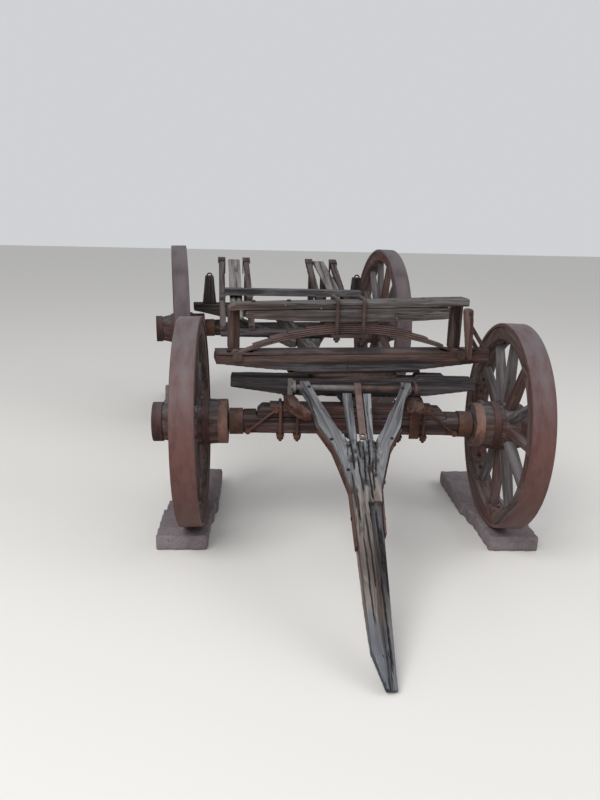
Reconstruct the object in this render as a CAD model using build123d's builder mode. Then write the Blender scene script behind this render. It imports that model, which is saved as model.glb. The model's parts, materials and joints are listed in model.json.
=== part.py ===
from build123d import *
import os
from math import asin, atan, atan2, cos, degrees, hypot, radians, sin

# Running gear of a heavy four-wheeled wagon: two axles joined by a reach pole, a front
# bolster on a cross spring, a drop tongue, and rear skids over the rear bolster.
# Millimetres, +Z up, +X to the wagon's own left, and the front of the wagon at -Y.
# Every piece is drawn square to the king pin, whose axis is X = Y = 0 with Z = 0 on the
# ground, and is set at its parked place at the end, where the front gear is turned a little.

os.makedirs("parts", exist_ok=True)

# Fits and clearances
seat_gap = 0.4            # between faces that slide on each other
pin_clearance = 0.08      # round a pin or an axle arm
free_gap = 5.0            # between pieces that pass each other
pad_gap = 1.5             # under a tyre's middle, because the wheels lean a little
joint_gap = 1.5           # between the ends of neighbouring felloes

# Stance
track = 1422.0            # between the tyres' middles, on the ground
wheelbase = 2019.0
parked_steer = -7.1       # how far the front gear stands turned, in degrees
lean = 1.3                # how far each wheel's top leans outwards, in degrees

# Concrete pads
pad_height = 72.0
pad_width = 232.0
pad_blocks = (290.0, 110.0, 450.0)
pad_ahead = 195.0         # from an axle to its pads' front ends
pad_inner = 640.0         # from the middle to the first block's inner edge
pad_step = 12.0           # how far each block stands in from the last

# Wheels
tyre_width = 100.0
tyre_thickness = 16.0
tyre_chamfer = 3.0
front_tyre_diameter = 946.0
rear_tyre_diameter = 1138.0
front_spoke_count = 12
rear_spoke_count = 14
felloe_depth = 66.0
felloe_width = 90.0
felloe_chamfer = 9.0
tenon_depth = 30.0        # how far a spoke reaches into its felloe
dish = 3.0                # how far the spokes' feet stand inboard of the tyre's middle

# Hubs, along the axle from the tyre's middle, outwards positive
hub_inner_end = -162.0
hub_outer_end = 173.0
hub_end_radius = 84.0
hub_barrel_radius = 116.0
hub_mortise_depth = 34.0
band_thickness = 7.0
inner_end_band = 42.0     # widths of the four hub bands, from the inner end outwards
inner_waist_band = 30.0
outer_waist_band = 30.0
outer_end_band = 44.0
inner_waist = 82.0        # from the hub's inner end to the second band
inner_swell = 10.0        # how much the inner end is larger than the outer one
barrel_start = -31.0
barrel_end = 38.0
nut_recess_radius = 56.0
nut_recess_depth = 44.0

# Axles and their iron arms
arm_radius = 34.0
shank_radius = 26.0       # of an arm's root inside the axle
shank_length = 60.0
axle_height = 76.0
axle_depth = 110.0
axle_square_end = 432.0   # from the middle to where the axle's timber turns round
axle_shoulder_radius = 57.0
collar_radius = 60.0
collar_length = 62.0
king_pin_radius = 14.0
hub_play = 6.0            # between a collar or nut and the hub
nut_across_flats = 84.0
nut_thickness = 30.0

# Front gear, upwards from the axle
bed_height = 44.0
bed_half_length = 430.0
bed_end_chamfer = 22.0
bed_strip_half_length = 372.0
bed_plate_thickness = 6.0
reach_height = 49.0
reach_width = 90.0
packing_place = 350.0     # middle of the packing block on the sand bolster
packing_length = 134.0
packing_height = 15.0
sand_bolster_height = 76.0
sand_bolster_depth = 115.0
sand_bolster_half_length = 550.0
bolster_end_height = 46.0
rub_plate_length = 400.0
rub_plate_width = 100.0
rub_plate_thickness = 12.0
hound_thickness = 48.0
hound_spread = 262.0      # from the middle to a hound's inner face at the axle
hound_mouth = 196.0       # the same at the whole hound's front end
hound_front = 268.0       # ahead of the axle, on the whole hound
hound_tip_height = 36.0   # of the whole hound's tapered front end
hound_stump = 130.0       # ahead of the axle, on the broken one
stump_tip_height = 30.0
stump_inner = 227.0       # the broken end's sides, from the middle
stump_outer = 311.0
hound_back = 325.0
sway_bar_height = 36.0
sway_bar_depth = 50.0
clip_rod_radius = 7.0
clip_bend = 14.0          # radius of a clip's corners, along the rod's middle
clip_play = 0.5           # between a clip's rods and the timbers that it clasps
clip_seat = 1.0           # how deep a clip's rod beds into the strip below it
clip_places = (-324.0, -248.0, 212.0, 326.0)
clip_plate_thickness = 8.0
clip_plate_reach = 18.0   # of a plate beyond the rods that it joins
clip_nut = 13.0           # half of a nut's width across its flats, and its height
clip_tail = 30.0          # how far a clip's rods reach below what they clasp
axle_strap_place = 284.0
axle_strap_width = 44.0
brace_rod_radius = 5.5
brace_rod_top = 345.0     # from the middle, where a brace rod leaves the bed
brace_rod_foot = 470.0    # from the middle, where it meets the axle
brace_eye = 13.0

# Tongue pin and its brackets
pin_ahead = 96.0
pin_rise = 44.5           # of the tongue pin over the sand bolster's underside
pin_radius = 12.0
pin_end = 12.0            # how far the pin's ends stand out of the brackets
bracket_place = 262.0     # from the middle to a bracket's inner face
bracket_reach = 24.0
bracket_thickness = 12.0
tie_strap_width = 22.0    # of the strap down the sand bolster's face
strap_thickness = 7.0

# Tongue, along its own slope from the tongue pin
arm_thickness = 60.0
arm_eye_width = 46.0
# Plan of one arm's outer edge as (distance from the pin, distance from the middle line).
arm_outer = ((0.0, 246.0), (75.0, 210.0), (235.0, 172.0), (340.0, 116.0), (445.0, 86.0), (542.0, 60.0))
# Plan of its inner edge, back from the crotch.
arm_inner = ((300.0, 62.0), (244.0, 95.0), (163.0, 129.0), (111.0, 156.0))
pole_thickness = 82.0
pole_end_width = 74.0
tongue_length = 1312.0
tip_thickness = 34.0
tip_taper = 330.0         # length over which the pole thins towards its tip
rot_length = 125.0        # of the corner that has rotted off the tip
rot_width = 34.0
split_start = 604.0       # where the right half of the pole has lost its top
split_depth = 22.0
rest_height = 0.4         # of the tongue's tip over the ground
strap_start = 235.0       # the side straps' upper ends, along the tongue
strap_ends = (790.0, 735.0)
strap_height = 38.0
# The two boards between the arms, as (left, right) edges at the pin end and at the crotch.
board_edges = (((-61.0, -19.0), (-46.0, -13.0)), ((29.0, 66.0), (28.0, 54.0)))
tongue_board_top = 14.0
tongue_board_thickness = 30.0
tongue_board_start = 39.0
draw_bar_middle = 8.0
draw_bar_width = 28.0
draw_bar_length = 298.0
draw_bar_thickness = 10.0
draw_hole_ahead = 279.0
draw_hole_radius = 8.0

# Spring beam and cross spring
beam_half_length = 622.0
beam_depth = 120.0
beam_height = 80.0
beam_end_height = 40.0
beam_flat = 250.0         # half the length over which the beam keeps its full height
beam_plate_thickness = 8.0
beam_strap_half_length = 300.0
spring_width = 55.0
spring_eye_radius = 18.0
spring_bolt_radius = 8.0
eye_drop = 6.0            # of the eyes' middles below the beam's top
eye_notch_depth = 46.0    # of the beam, left in front of each notch's middle
eye_cap_radius = 21.0
eye_cap_thickness = 13.0
spring_shift = -24.0      # the spring has worn its way to one side
spring_inset = 117.0      # from the beam's ends to the eyes of a spring in its right place
spring_rise = 98.0        # of the main leaf's middle above its eyes
leaf_thickness = 9.0
leaf_count = 6
shortest_leaf = 120.0     # half the length of the shortest leaf
eye_pocket = 112.0        # length of the notch that an eye lies in

# Upper bolster and what stands beside it
bolster_depth = 100.0
lower_plank_height = 57.0
bolster_shift = -38.0     # the bolster sits to the same side
lower_plank_inset = 166.0     # from the beam's end to that of the plank, when in its right place
lower_plank_end_height = 44.0
lower_plank_taper = 196.0     # length over which each end thins
upper_plank_height = 33.0
upper_plank_swell = 5.0       # how much thicker it is at its left end
upper_plank_inset = 84.0
upper_plank_shift = 10.0      # of the upper plank over the lower one
upper_plank_cut = 36.0        # length of the corner worn off its right end
bolster_slope = 0.021         # rise of the planks' joint towards the left
ubolt_radius = 8.0
ubolt_spacing = 118.0
post_width = 54.0
post_depth = 44.0
post_places = (86.0, 134.0)   # from the beam's ends to the two posts' middles
guard_post_width = 46.0
guard_post_foot_width = 24.0
guard_post_depth = 32.0
guard_post_inset = 132.0  # from the beam's end to the middle of the guard post's head
guard_post_lean = 25.0    # how much nearer the beam's end its foot stands
guard_post_foot = 22.0    # how far it reaches below the beam's top
guard_post_head = 10.0    # and above the upper plank's underside
guard_post_round = 16.0
brace_width = 26.0
brace_thickness = 8.0
# The two braces, as (drop of the head from the plank, distance of the foot from the beam's end).
brace_places = ((18.0, 8.0), (66.0, 44.0))

# Rear gear
reach_ahead = 60.0
reach_behind = 170.0
rear_hound_spread = 300.0
rear_hound_front = 830.0  # ahead of the rear axle
rear_bolster_height = 92.0
rear_bolster_depth = 112.0
rear_bolster_half_length = 638.0
rear_bolster_lift = 44.0      # of its underside at the ends, clear of the turning hubs
rear_bolster_taper = 200.0    # length over which each end thins
stake_place = 528.0
stake_foot_width = 92.0
stake_head_width = 58.0
stake_depth = 74.0
stake_height = 190.0
ring_radius = 22.0
ring_rod_radius = 5.0
cross_bar_ahead = 730.0   # from the rear axle forwards to the cross bar's middle
cross_bar_half_length = 420.0
cross_bar_height = 42.0
cross_bar_depth = 100.0

# Skids
skid_width = 41.0
skid_height = 46.0
skid_places = (228.0, 404.0)
skid_tail = 190.0         # behind the rear axle
skid_rise = 0.339         # climb for each unit of length
cap_thickness = 6.0
cap_length = 60.0
cap_drop = 88.0           # length of the strap on a cap's inner side
skid_post_depth = 70.0
skid_beam_ahead = 417.0   # from the rear axle forwards to the beam's middle
skid_beam_half_length = 448.0
skid_beam_height = 45.0
skid_beam_depth = 86.0
board_width = 84.0
board_thickness = 20.0
board_length = 900.0
loose_board_length = 560.0
board_skew = 6.0          # of the loose board, in degrees
skid_skew = -3.7          # how far the skids have swung round, in degrees
skid_shift = -37.0        # and moved to one side
skid_beam_shift = 56.0    # of the skid beam, along itself

# Levels that follow from the sizes above
spring_span = beam_half_length - spring_inset
front_radius = front_tyre_diameter / 2
rear_radius = rear_tyre_diameter / 2
front_axle_z = pad_height + pad_gap + front_radius
rear_axle_z = pad_height + pad_gap + rear_radius
bed_z = front_axle_z + axle_height / 2
bed_top = bed_z + bed_height + bed_plate_thickness
collar_start = hub_inner_end - hub_play - collar_length
hound_height = reach_height + 2 * free_gap
sand_bolster_z = bed_top + hound_height
lower_plate_z = sand_bolster_z + sand_bolster_height
upper_plate_z = lower_plate_z + rub_plate_thickness + seat_gap
pin_height = sand_bolster_z + pin_rise
strap_z = upper_plate_z + rub_plate_thickness
beam_z = strap_z + beam_plate_thickness
beam_top = beam_z + beam_height
beam_deck = beam_top + beam_plate_thickness
eye_z = beam_top - eye_drop
spring_top = eye_z + spring_rise + leaf_thickness * (leaf_count - 0.5)
upper_plank_z = spring_top + lower_plank_height    # of the joint, in the bolster's middle
bolster_top = upper_plank_z + upper_plank_height
reach_front_z = bed_top + free_gap
rear_seat_z = rear_axle_z + axle_height / 2
rear_bolster_z = rear_seat_z + reach_height
rear_bolster_top = rear_bolster_z + rear_bolster_height
reach_slope = (rear_seat_z - reach_front_z) / wheelbase


def reach_top(y):
    """Height of the reach's and rear hounds' upper faces at a place along the wagon."""
    return reach_front_z + reach_height + reach_slope * y


cross_bar_y = wheelbase - cross_bar_ahead
cross_bar_z = reach_top(cross_bar_y + 0.6 * cross_bar_depth)
cross_bar_top = cross_bar_z + cross_bar_height
skid_tail_y = wheelbase + skid_tail
skid_front_y = cross_bar_y - cross_bar_depth / 2


def skid_under(y):
    """Height of a skid's lower face at a place along the wagon."""
    return cross_bar_top + skid_rise * (y - cross_bar_y)


skid_angle = atan(skid_rise)
skid_depth_z = skid_height / cos(skid_angle)
skid_beam_y = wheelbase - skid_beam_ahead
skid_beam_z = skid_under(skid_beam_y + skid_beam_depth / 2) + skid_depth_z


def wheel_place(radius, height, y):
    """Frame of a left-hand wheel: Z out along its axle, which droops by the lean."""
    middle = (track / 2 + radius * sin(radians(lean)), y, height)
    return Plane(origin=middle, x_dir=(0, 1, 0), z_dir=(cos(radians(lean)), 0, -sin(radians(lean))))


front_wheel_frame = wheel_place(front_radius, front_axle_z, 0)
rear_wheel_frame = wheel_place(rear_radius, rear_axle_z, wheelbase)

pieces = {}


def both_sides(name, built):
    """Keeps a left-hand piece and its mirror image as two nodes."""
    pieces[name.replace("SIDE", "left")] = built.part
    pieces[name.replace("SIDE", "right")] = built.part.mirror(Plane.YZ)


# Wheels
# Hub profile as (distance along the axle, radius) of the wood under the bands.
waist_inner = hub_inner_end + inner_waist
waist_outer = waist_inner + inner_waist_band
nose_start = hub_outer_end - outer_end_band
inner_radius = hub_end_radius + inner_swell
hub_profile = (
    (hub_inner_end, inner_radius),
    (hub_inner_end + inner_end_band, inner_radius),
    (hub_inner_end + inner_end_band, inner_radius + 6),
    (waist_inner, inner_radius + 9),
    (waist_outer, inner_radius + 11),
    (barrel_start, inner_radius + 13),
    (barrel_start, hub_barrel_radius),
    (barrel_end, hub_barrel_radius),
    (barrel_end, hub_end_radius + 16),
    (barrel_end + outer_waist_band, hub_end_radius + 12),
    (nose_start, hub_end_radius - 2),
    (hub_outer_end, hub_end_radius - 2),
)
# Hub bands as (start, end, inner radius at the start, inner radius at the end).
hub_bands = (
    (hub_inner_end, hub_inner_end + inner_end_band, inner_radius, inner_radius),
    (waist_inner, waist_outer, inner_radius + 9, inner_radius + 11),
    (barrel_end, barrel_end + outer_waist_band, hub_end_radius + 16, hub_end_radius + 12),
    (nose_start, hub_outer_end, hub_end_radius - 2, hub_end_radius - 2),
)


def make_wheel(end, radius, spoke_count, frame):
    """Draws one wheel about its own Z axis and keeps it on both sides of the wagon."""
    wood_radius = radius - tyre_thickness
    felloe_inner = wood_radius - felloe_depth
    foot_radius = hub_barrel_radius - hub_mortise_depth

    with BuildPart() as tyre:
        Cylinder(radius, tyre_width)
        Cylinder(wood_radius, tyre_width, mode=Mode.SUBTRACT)
        chamfer(tyre.edges().filter_by(GeomType.CIRCLE).group_by(SortBy.RADIUS)[-1], tyre_chamfer)

    # Spoke sections as (radius from the axle, length along the axle, width).
    spoke_sections = (
        (foot_radius, 54, 32),
        (hub_barrel_radius + 60, 56, 40),
        (felloe_inner + tenon_depth, 40, 34),
    )
    with BuildPart() as spoke:
        for r, length, width in spoke_sections:
            share = (r - foot_radius) / (felloe_inner + tenon_depth - foot_radius)
            seat = Plane(origin=(r, 0, dish * (share - 1)), x_dir=(0, 0, 1), z_dir=(1, 0, 0))
            with BuildSketch(seat):
                SlotOverall(length, width)
        loft(ruled=True)

    with BuildPart() as spokes:
        with PolarLocations(0, spoke_count):
            add(spoke.part)

    with BuildPart() as felloes:
        Cylinder(wood_radius, felloe_width)
        Cylinder(felloe_inner, felloe_width, mode=Mode.SUBTRACT)
        chamfer(felloes.edges().filter_by(GeomType.CIRCLE).group_by(SortBy.RADIUS)[0], felloe_chamfer)
        felloe_middle = (wood_radius + felloe_inner) / 2
        with PolarLocations(felloe_middle, spoke_count // 2, start_angle=180 / spoke_count):
            Box(felloe_depth + 10, joint_gap, felloe_width + 10, mode=Mode.SUBTRACT)
        add(spokes.part, mode=Mode.SUBTRACT)

    with BuildPart() as hub:
        with BuildSketch(Plane.XZ):
            with BuildLine():
                outline = [(r, u) for u, r in hub_profile]
                bore = arm_radius + pin_clearance
                recess = (
                    (nut_recess_radius, hub_outer_end),
                    (nut_recess_radius, hub_outer_end - nut_recess_depth),
                    (bore, hub_outer_end - nut_recess_depth),
                    (bore, hub_inner_end),
                )
                Polyline(*outline, *recess, close=True)
            make_face()
        revolve(axis=Axis.Z)
        add(spokes.part, mode=Mode.SUBTRACT)

    with BuildPart() as bands:
        for start, stop, r_start, r_stop in hub_bands:
            with BuildSketch(Plane.XZ):
                with BuildLine():
                    Polyline(
                        (r_start, start),
                        (r_start + band_thickness, start),
                        (r_stop + band_thickness, stop),
                        (r_stop, stop),
                        close=True,
                    )
                make_face()
            revolve(axis=Axis.Z)

    names = ("tyre", "felloes", "spokes", "hub", "hub_bands")
    for name, built in zip(names, (tyre, felloes, spokes, hub, bands)):
        built.part = frame.location * built.part
        both_sides(f"{end}_SIDE_{name}", built)


make_wheel("front", front_radius, front_spoke_count, front_wheel_frame)
make_wheel("rear", rear_radius, rear_spoke_count, rear_wheel_frame)


# Iron axle arms
def make_arms(frame):
    """Both axle arms with their collars and nuts, drooping as the wheels lean."""
    nut_start = hub_outer_end - nut_recess_depth + hub_play
    with BuildPart() as arm:
        with BuildSketch(Plane.XY.offset(collar_start - shank_length)):
            Circle(shank_radius)
        extrude(amount=shank_length)
        with BuildSketch(Plane.XY.offset(collar_start)):
            Circle(arm_radius)
        extrude(amount=nut_start + nut_thickness + 8 - collar_start)
        with BuildSketch(Plane.XY.offset(collar_start)):
            Circle(collar_radius)
        extrude(amount=collar_length)
        with BuildSketch(Plane.XY.offset(nut_start)):
            RegularPolygon(nut_across_flats / 2, 6, major_radius=False)
        extrude(amount=nut_thickness)
    placed = frame.location * arm.part
    with BuildPart() as arms:
        add(placed)
        add(placed.mirror(Plane.YZ))
    return arms


front_arms = make_arms(front_wheel_frame)
rear_arms = make_arms(rear_wheel_frame)


# Axles, timbers whose rounded ends butt against the iron arms' collars
def make_axle(frame, arms):
    """One axle's timber, square in the middle, with a round shoulder at each end."""
    middle = frame.origin
    shoulder_length = middle.X + collar_start - axle_square_end + 2
    with BuildPart() as shoulder:
        with BuildSketch(Plane.XY.offset(collar_start - shoulder_length)):
            Circle(axle_shoulder_radius)
        extrude(amount=shoulder_length)
    placed = frame.location * shoulder.part
    with BuildPart() as axle:
        with BuildSketch(Plane.YZ.offset(-axle_square_end)):
            with Locations((middle.Y, middle.Z)):
                Rectangle(axle_depth, axle_height)
        extrude(amount=2 * axle_square_end)
        chamfer(axle.edges().filter_by(Axis.X), 6)
        add(placed)
        add(placed.mirror(Plane.YZ))
        add(arms.part, mode=Mode.SUBTRACT)
    return axle


front_axle = make_axle(front_wheel_frame, front_arms)
rear_axle = make_axle(rear_wheel_frame, rear_arms)
pin_hole = king_pin_radius + pin_clearance
with front_axle:
    with Locations((0, 0, bed_z)):
        Hole(pin_hole)

# Axle bed, its upper corners cut off at the ends
with BuildPart() as axle_bed:
    with BuildSketch(Plane.XZ.offset(-axle_depth / 2)):
        with BuildLine():
            Polyline(
                (-bed_half_length, bed_z),
                (bed_half_length, bed_z),
                (bed_half_length, bed_z + bed_height - bed_end_chamfer),
                (bed_half_length - bed_end_chamfer, bed_z + bed_height),
                (-bed_half_length + bed_end_chamfer, bed_z + bed_height),
                (-bed_half_length, bed_z + bed_height - bed_end_chamfer),
                close=True,
            )
        make_face()
    extrude(amount=axle_depth)
    with Locations((0, 0, bed_top)):
        Hole(pin_hole)
    add(front_axle.part, mode=Mode.SUBTRACT)

# Hounds: curved timbers gripped between bed and sand bolster, with the sway bar behind
half_depth = axle_depth / 2
hound_outer = hound_spread + hound_thickness
with BuildPart() as hounds:
    with BuildSketch(Plane.XY.offset(bed_top)):
        with BuildLine():
            Polyline(
                (-hound_spread, hound_back),
                (-hound_spread, -half_depth),
                (-(hound_spread + hound_mouth) / 2 - 8, (-half_depth - hound_front) / 2),
                (-hound_mouth, -hound_front + 14),
                (-hound_mouth - 0.7 * hound_thickness, -hound_front),
                (-(hound_outer + hound_mouth + hound_thickness) / 2 - 12, (-half_depth - hound_front) / 2),
                (-hound_outer, -half_depth - 20),
                (-hound_outer, hound_back),
                close=True,
            )
        make_face()
        with BuildLine():
            Polyline(
                (hound_spread, hound_back),
                (hound_spread, -half_depth),
                (stump_inner, -half_depth - 8),
                (stump_inner, -hound_stump),
                (stump_outer, -hound_stump),
                (stump_outer, -half_depth),
                (hound_outer, -half_depth),
                (hound_outer, hound_back),
                close=True,
            )
        make_face()
    extrude(amount=hound_height)
    hound_ends = ((-hound_outer - 5, hound_front, hound_tip_height), (5, hound_stump, stump_tip_height))
    for x, front, height in hound_ends:
        with BuildSketch(Plane.YZ.offset(x)):
            with BuildLine():
                Polyline(
                    (-half_depth - 10, sand_bolster_z),
                    (-front, bed_top + height),
                    (-front - 5, sand_bolster_z),
                    close=True,
                )
            make_face()
        extrude(amount=hound_outer, mode=Mode.SUBTRACT)
    with BuildSketch(Plane.XY.offset(bed_top - sway_bar_height)):
        with Locations((0, hound_back - sway_bar_depth / 2)):
            Rectangle(2 * hound_outer, sway_bar_depth)
    extrude(amount=sway_bar_height)

# Sand bolster, its underside tapered towards the ends
with BuildPart() as sand_bolster:
    with BuildSketch(Plane.XZ.offset(-sand_bolster_depth / 2)):
        with BuildLine():
            lift = sand_bolster_height - bolster_end_height
            shoulder = hound_outer + 20
            Polyline(
                (-sand_bolster_half_length, sand_bolster_z + lift),
                (-shoulder, sand_bolster_z),
                (shoulder, sand_bolster_z),
                (sand_bolster_half_length, sand_bolster_z + lift),
                (sand_bolster_half_length, lower_plate_z),
                (-sand_bolster_half_length, lower_plate_z),
                close=True,
            )
        make_face()
    extrude(amount=sand_bolster_depth)
    with BuildSketch(Plane.XY.offset(lower_plate_z)):
        with Locations((packing_place, 0)):
            Rectangle(packing_length, rub_plate_width)
    extrude(amount=packing_height)
    with Locations((0, 0, lower_plate_z)):
        Hole(pin_hole)

with BuildPart() as lower_rub_plate:
    with BuildSketch(Plane.XY.offset(lower_plate_z)):
        SlotOverall(rub_plate_length, rub_plate_width)
        Circle(pin_hole, mode=Mode.SUBTRACT)
    extrude(amount=rub_plate_thickness)

# Axle irons: a strip along the bed, clips over it with nuts below, a strap and brace rods
clip_foot = front_axle_z - axle_height / 2
clip_y = axle_depth / 2 + clip_rod_radius + clip_play
clip_top = bed_top + clip_rod_radius - clip_seat
with BuildPart() as axle_clip:
    with BuildLine(Plane.YZ):
        clip_ends = ((-clip_y, clip_foot - clip_tail), (clip_y, clip_foot - clip_tail))
        clip_corners = ((-clip_y, clip_top), (clip_y, clip_top))
        clip_line = FilletPolyline(clip_ends[0], *clip_corners, clip_ends[1], radius=clip_bend)
    with BuildSketch(Plane(origin=clip_line @ 0, z_dir=clip_line % 0)):
        Circle(clip_rod_radius)
    sweep(path=clip_line)

with BuildPart() as axle_irons:
    with BuildSketch(Plane.XY.offset(bed_z + bed_height)):
        Rectangle(2 * bed_strip_half_length, axle_depth - 6)
        Circle(pin_hole, mode=Mode.SUBTRACT)
    extrude(amount=bed_plate_thickness)
    with Locations(*[(x, 0, 0) for x in clip_places]):
        add(axle_clip.part)
    with BuildSketch(Plane.XY.offset(clip_foot - clip_plate_thickness)):
        with Locations(*[(x, 0) for x in clip_places]):
            SlotOverall(2 * (clip_y + clip_plate_reach), 2 * clip_plate_reach, rotation=90)
    extrude(amount=clip_plate_thickness)
    with BuildSketch(Plane.XY.offset(clip_foot - clip_plate_thickness - clip_nut)):
        with Locations(*[(x, y) for x in clip_places for y in (-clip_y, clip_y)]):
            RegularPolygon(clip_nut, 6, major_radius=False)
    extrude(amount=clip_nut)
    # The strap under the broken hound.
    with BuildSketch(Plane.XZ.offset(axle_depth / 2)):
        with Locations((axle_strap_place, bed_z + bed_height)):
            Rectangle(axle_strap_width, axle_height + bed_height + 14, align=(Align.CENTER, Align.MAX))
    extrude(amount=bed_plate_thickness)
    # Brace rods down the front of the bed to the axle's ends.
    rod_y = -axle_depth / 2 - brace_rod_radius
    for side in (-1, 1):
        top = Vector(side * brace_rod_top, rod_y, bed_top - brace_eye)
        foot = Vector(side * brace_rod_foot, rod_y, front_axle_z - 2 * brace_eye)
        with BuildSketch(Plane(origin=top, z_dir=foot - top)):
            Circle(brace_rod_radius)
        extrude(amount=(foot - top).length)
        for eye, depth in ((top, 2 * brace_rod_radius), (foot, 2 * brace_eye)):
            with BuildSketch(Plane.XZ.offset(axle_depth / 2 + 2 * brace_rod_radius)):
                with Locations((eye.X, eye.Z)):
                    Circle(brace_eye)
            extrude(amount=-depth)
    add(front_axle.part, mode=Mode.SUBTRACT)

# Tongue pin in two brackets on the front of the sand bolster
bolster_face = sand_bolster_depth / 2
with BuildPart() as tongue_pin:
    with BuildSketch(Plane.YZ.offset(-bracket_place - bracket_thickness - pin_end)):
        with Locations((-pin_ahead, pin_height)):
            Circle(pin_radius)
    extrude(amount=2 * (bracket_place + bracket_thickness + pin_end))
    for x in (-bracket_place - bracket_thickness, bracket_place):
        with BuildSketch(Plane.YZ.offset(x)):
            with Locations((-pin_ahead, pin_height)):
                Circle(bracket_reach)
            with BuildLine():
                Polyline(
                    (-bolster_face, pin_height + bracket_reach),
                    (-pin_ahead, pin_height + bracket_reach),
                    (-pin_ahead, pin_height - bracket_reach),
                    (-bolster_face, pin_height - bracket_reach),
                    close=True,
                )
            make_face()
        extrude(amount=bracket_thickness)
    with BuildSketch(Plane.XZ.offset(bolster_face)):
        with Locations((-bracket_place - bracket_thickness, sand_bolster_z)):
            Rectangle(tie_strap_width, sand_bolster_height, align=(Align.MAX, Align.MIN))
    extrude(amount=strap_thickness)

# Tongue, drawn lying flat with its pin on the Z = 0 line and then dropped to the ground
top_face = arm_thickness / 2
tip_under = top_face - tip_thickness
tip_reach = hypot(tongue_length, tip_under)
tongue_drop = degrees(asin((pin_height - rest_height) / tip_reach) + atan2(tip_under, tongue_length))
tongue_frame = Location((0, -pin_ahead, pin_height), (tongue_drop, 0, 0))

crotch = arm_inner[0][0]
pole_half_width = arm_outer[-1][1]
pole_start = arm_outer[-1][0]
eye_outer = arm_outer[0][1]

with BuildPart() as tongue:
    for side in (-1, 1):
        with BuildSketch(Plane.XY.offset(-arm_thickness / 2)):
            with BuildLine():
                Polyline(
                    *[(side * w, -u) for u, w in arm_outer],
                    (0, -arm_outer[-1][0]),
                    (0, -crotch),
                    *[(side * w, -u) for u, w in arm_inner],
                    (side * (eye_outer - arm_eye_width), 0),
                    close=True,
                )
            make_face()
        extrude(amount=arm_thickness)
        with BuildSketch(Plane.YZ.offset(side * eye_outer)):
            Circle(arm_thickness / 2)
        extrude(amount=-side * arm_eye_width)
    with BuildSketch(Plane.YZ.offset(-pole_half_width)):
        with BuildLine():
            Polyline(
                (-pole_start + 60, top_face),
                (-tongue_length, top_face),
                (-tongue_length, tip_under),
                (-tongue_length + tip_taper, top_face - pole_thickness),
                (-pole_start, top_face - pole_thickness),
                (-pole_start + 60, -top_face),
                close=True,
            )
        make_face()
    extrude(amount=2 * pole_half_width)
    with BuildSketch(Plane.XY.offset(-2 * pole_thickness)):
        for side in (-1, 1):
            with BuildLine():
                Polyline(
                    (side * pole_half_width, -pole_start),
                    (side * pole_end_width / 2, -tongue_length),
                    (side * (pole_end_width / 2 + 60), -tongue_length),
                    (side * (pole_half_width + 60), -pole_start),
                    close=True,
                )
            make_face()
        with BuildLine():
            Polyline(
                (-pole_end_width, -tongue_length + rot_length),
                (-pole_end_width / 2 - 2, -tongue_length + rot_length),
                (-pole_end_width / 2 + rot_width, -tongue_length),
                (-pole_end_width, -tongue_length),
                close=True,
            )
        make_face()
    extrude(amount=3 * pole_thickness, mode=Mode.SUBTRACT)
    # One half of the pole has lost its upper part along the split.
    with BuildSketch(Plane.YZ.offset(draw_bar_middle)):
        with BuildLine():
            Polyline(
                (-split_start, top_face),
                (-split_start - 6, top_face - split_depth),
                (-tongue_length - 5, top_face - split_depth / 2),
                (-tongue_length - 5, top_face + 1),
                (-split_start, top_face + 1),
                close=True,
            )
        make_face()
    extrude(amount=2 * pole_half_width, mode=Mode.SUBTRACT)
    with BuildSketch(Plane.YZ.offset(-bracket_place)):
        Circle(pin_radius + pin_clearance)
    extrude(amount=2 * bracket_place, mode=Mode.SUBTRACT)

# Two boards between the arms
with BuildPart() as tongue_boards:
    for (left, right), (left_end, right_end) in board_edges:
        with BuildSketch(Plane.XY.offset(tongue_board_top - tongue_board_thickness)):
            with BuildLine():
                Polyline(
                    (left, -tongue_board_start),
                    (right, -tongue_board_start),
                    (right_end, -crotch),
                    (left_end, -crotch),
                    close=True,
                )
            make_face()
        extrude(amount=tongue_board_thickness)
    add(tongue.part, mode=Mode.SUBTRACT)

# Tongue irons: a draw bar hooked over the pin, and straps along the arms' outer sides
with BuildPart() as tongue_irons:
    with BuildSketch(Plane.XY.offset(tongue_board_top)):
        with Locations((draw_bar_middle, 0)):
            Rectangle(draw_bar_width, draw_bar_length, align=(Align.CENTER, Align.MAX))
        with Locations((draw_bar_middle, -draw_hole_ahead)):
            Circle(draw_hole_radius, mode=Mode.SUBTRACT)
    extrude(amount=draw_bar_thickness)
    with BuildSketch(Plane.YZ.offset(draw_bar_middle - draw_bar_width / 2)):
        Circle(tongue_board_top + draw_bar_thickness)
    extrude(amount=draw_bar_width)
    with BuildSketch(Plane.YZ.offset(-bracket_place)):
        Circle(pin_radius + pin_clearance)
    extrude(amount=2 * bracket_place, mode=Mode.SUBTRACT)
    for side, strap_end in zip((-1, 1), strap_ends):
        share = (strap_end - pole_start) / (tongue_length - pole_start)
        end_width = pole_half_width + (pole_end_width / 2 - pole_half_width) * share
        edge = [(side * w, -u) for u, w in arm_outer if u >= strap_start]
        edge.append((side * end_width, -strap_end))
        with BuildSketch(Plane.XY.offset(-arm_thickness / 2 + 4)):
            with BuildLine():
                Polyline(*edge, *[(x + side * strap_thickness, y) for x, y in reversed(edge)], close=True)
            make_face()
        extrude(amount=strap_height)
    add(tongue.part, mode=Mode.SUBTRACT)

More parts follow.
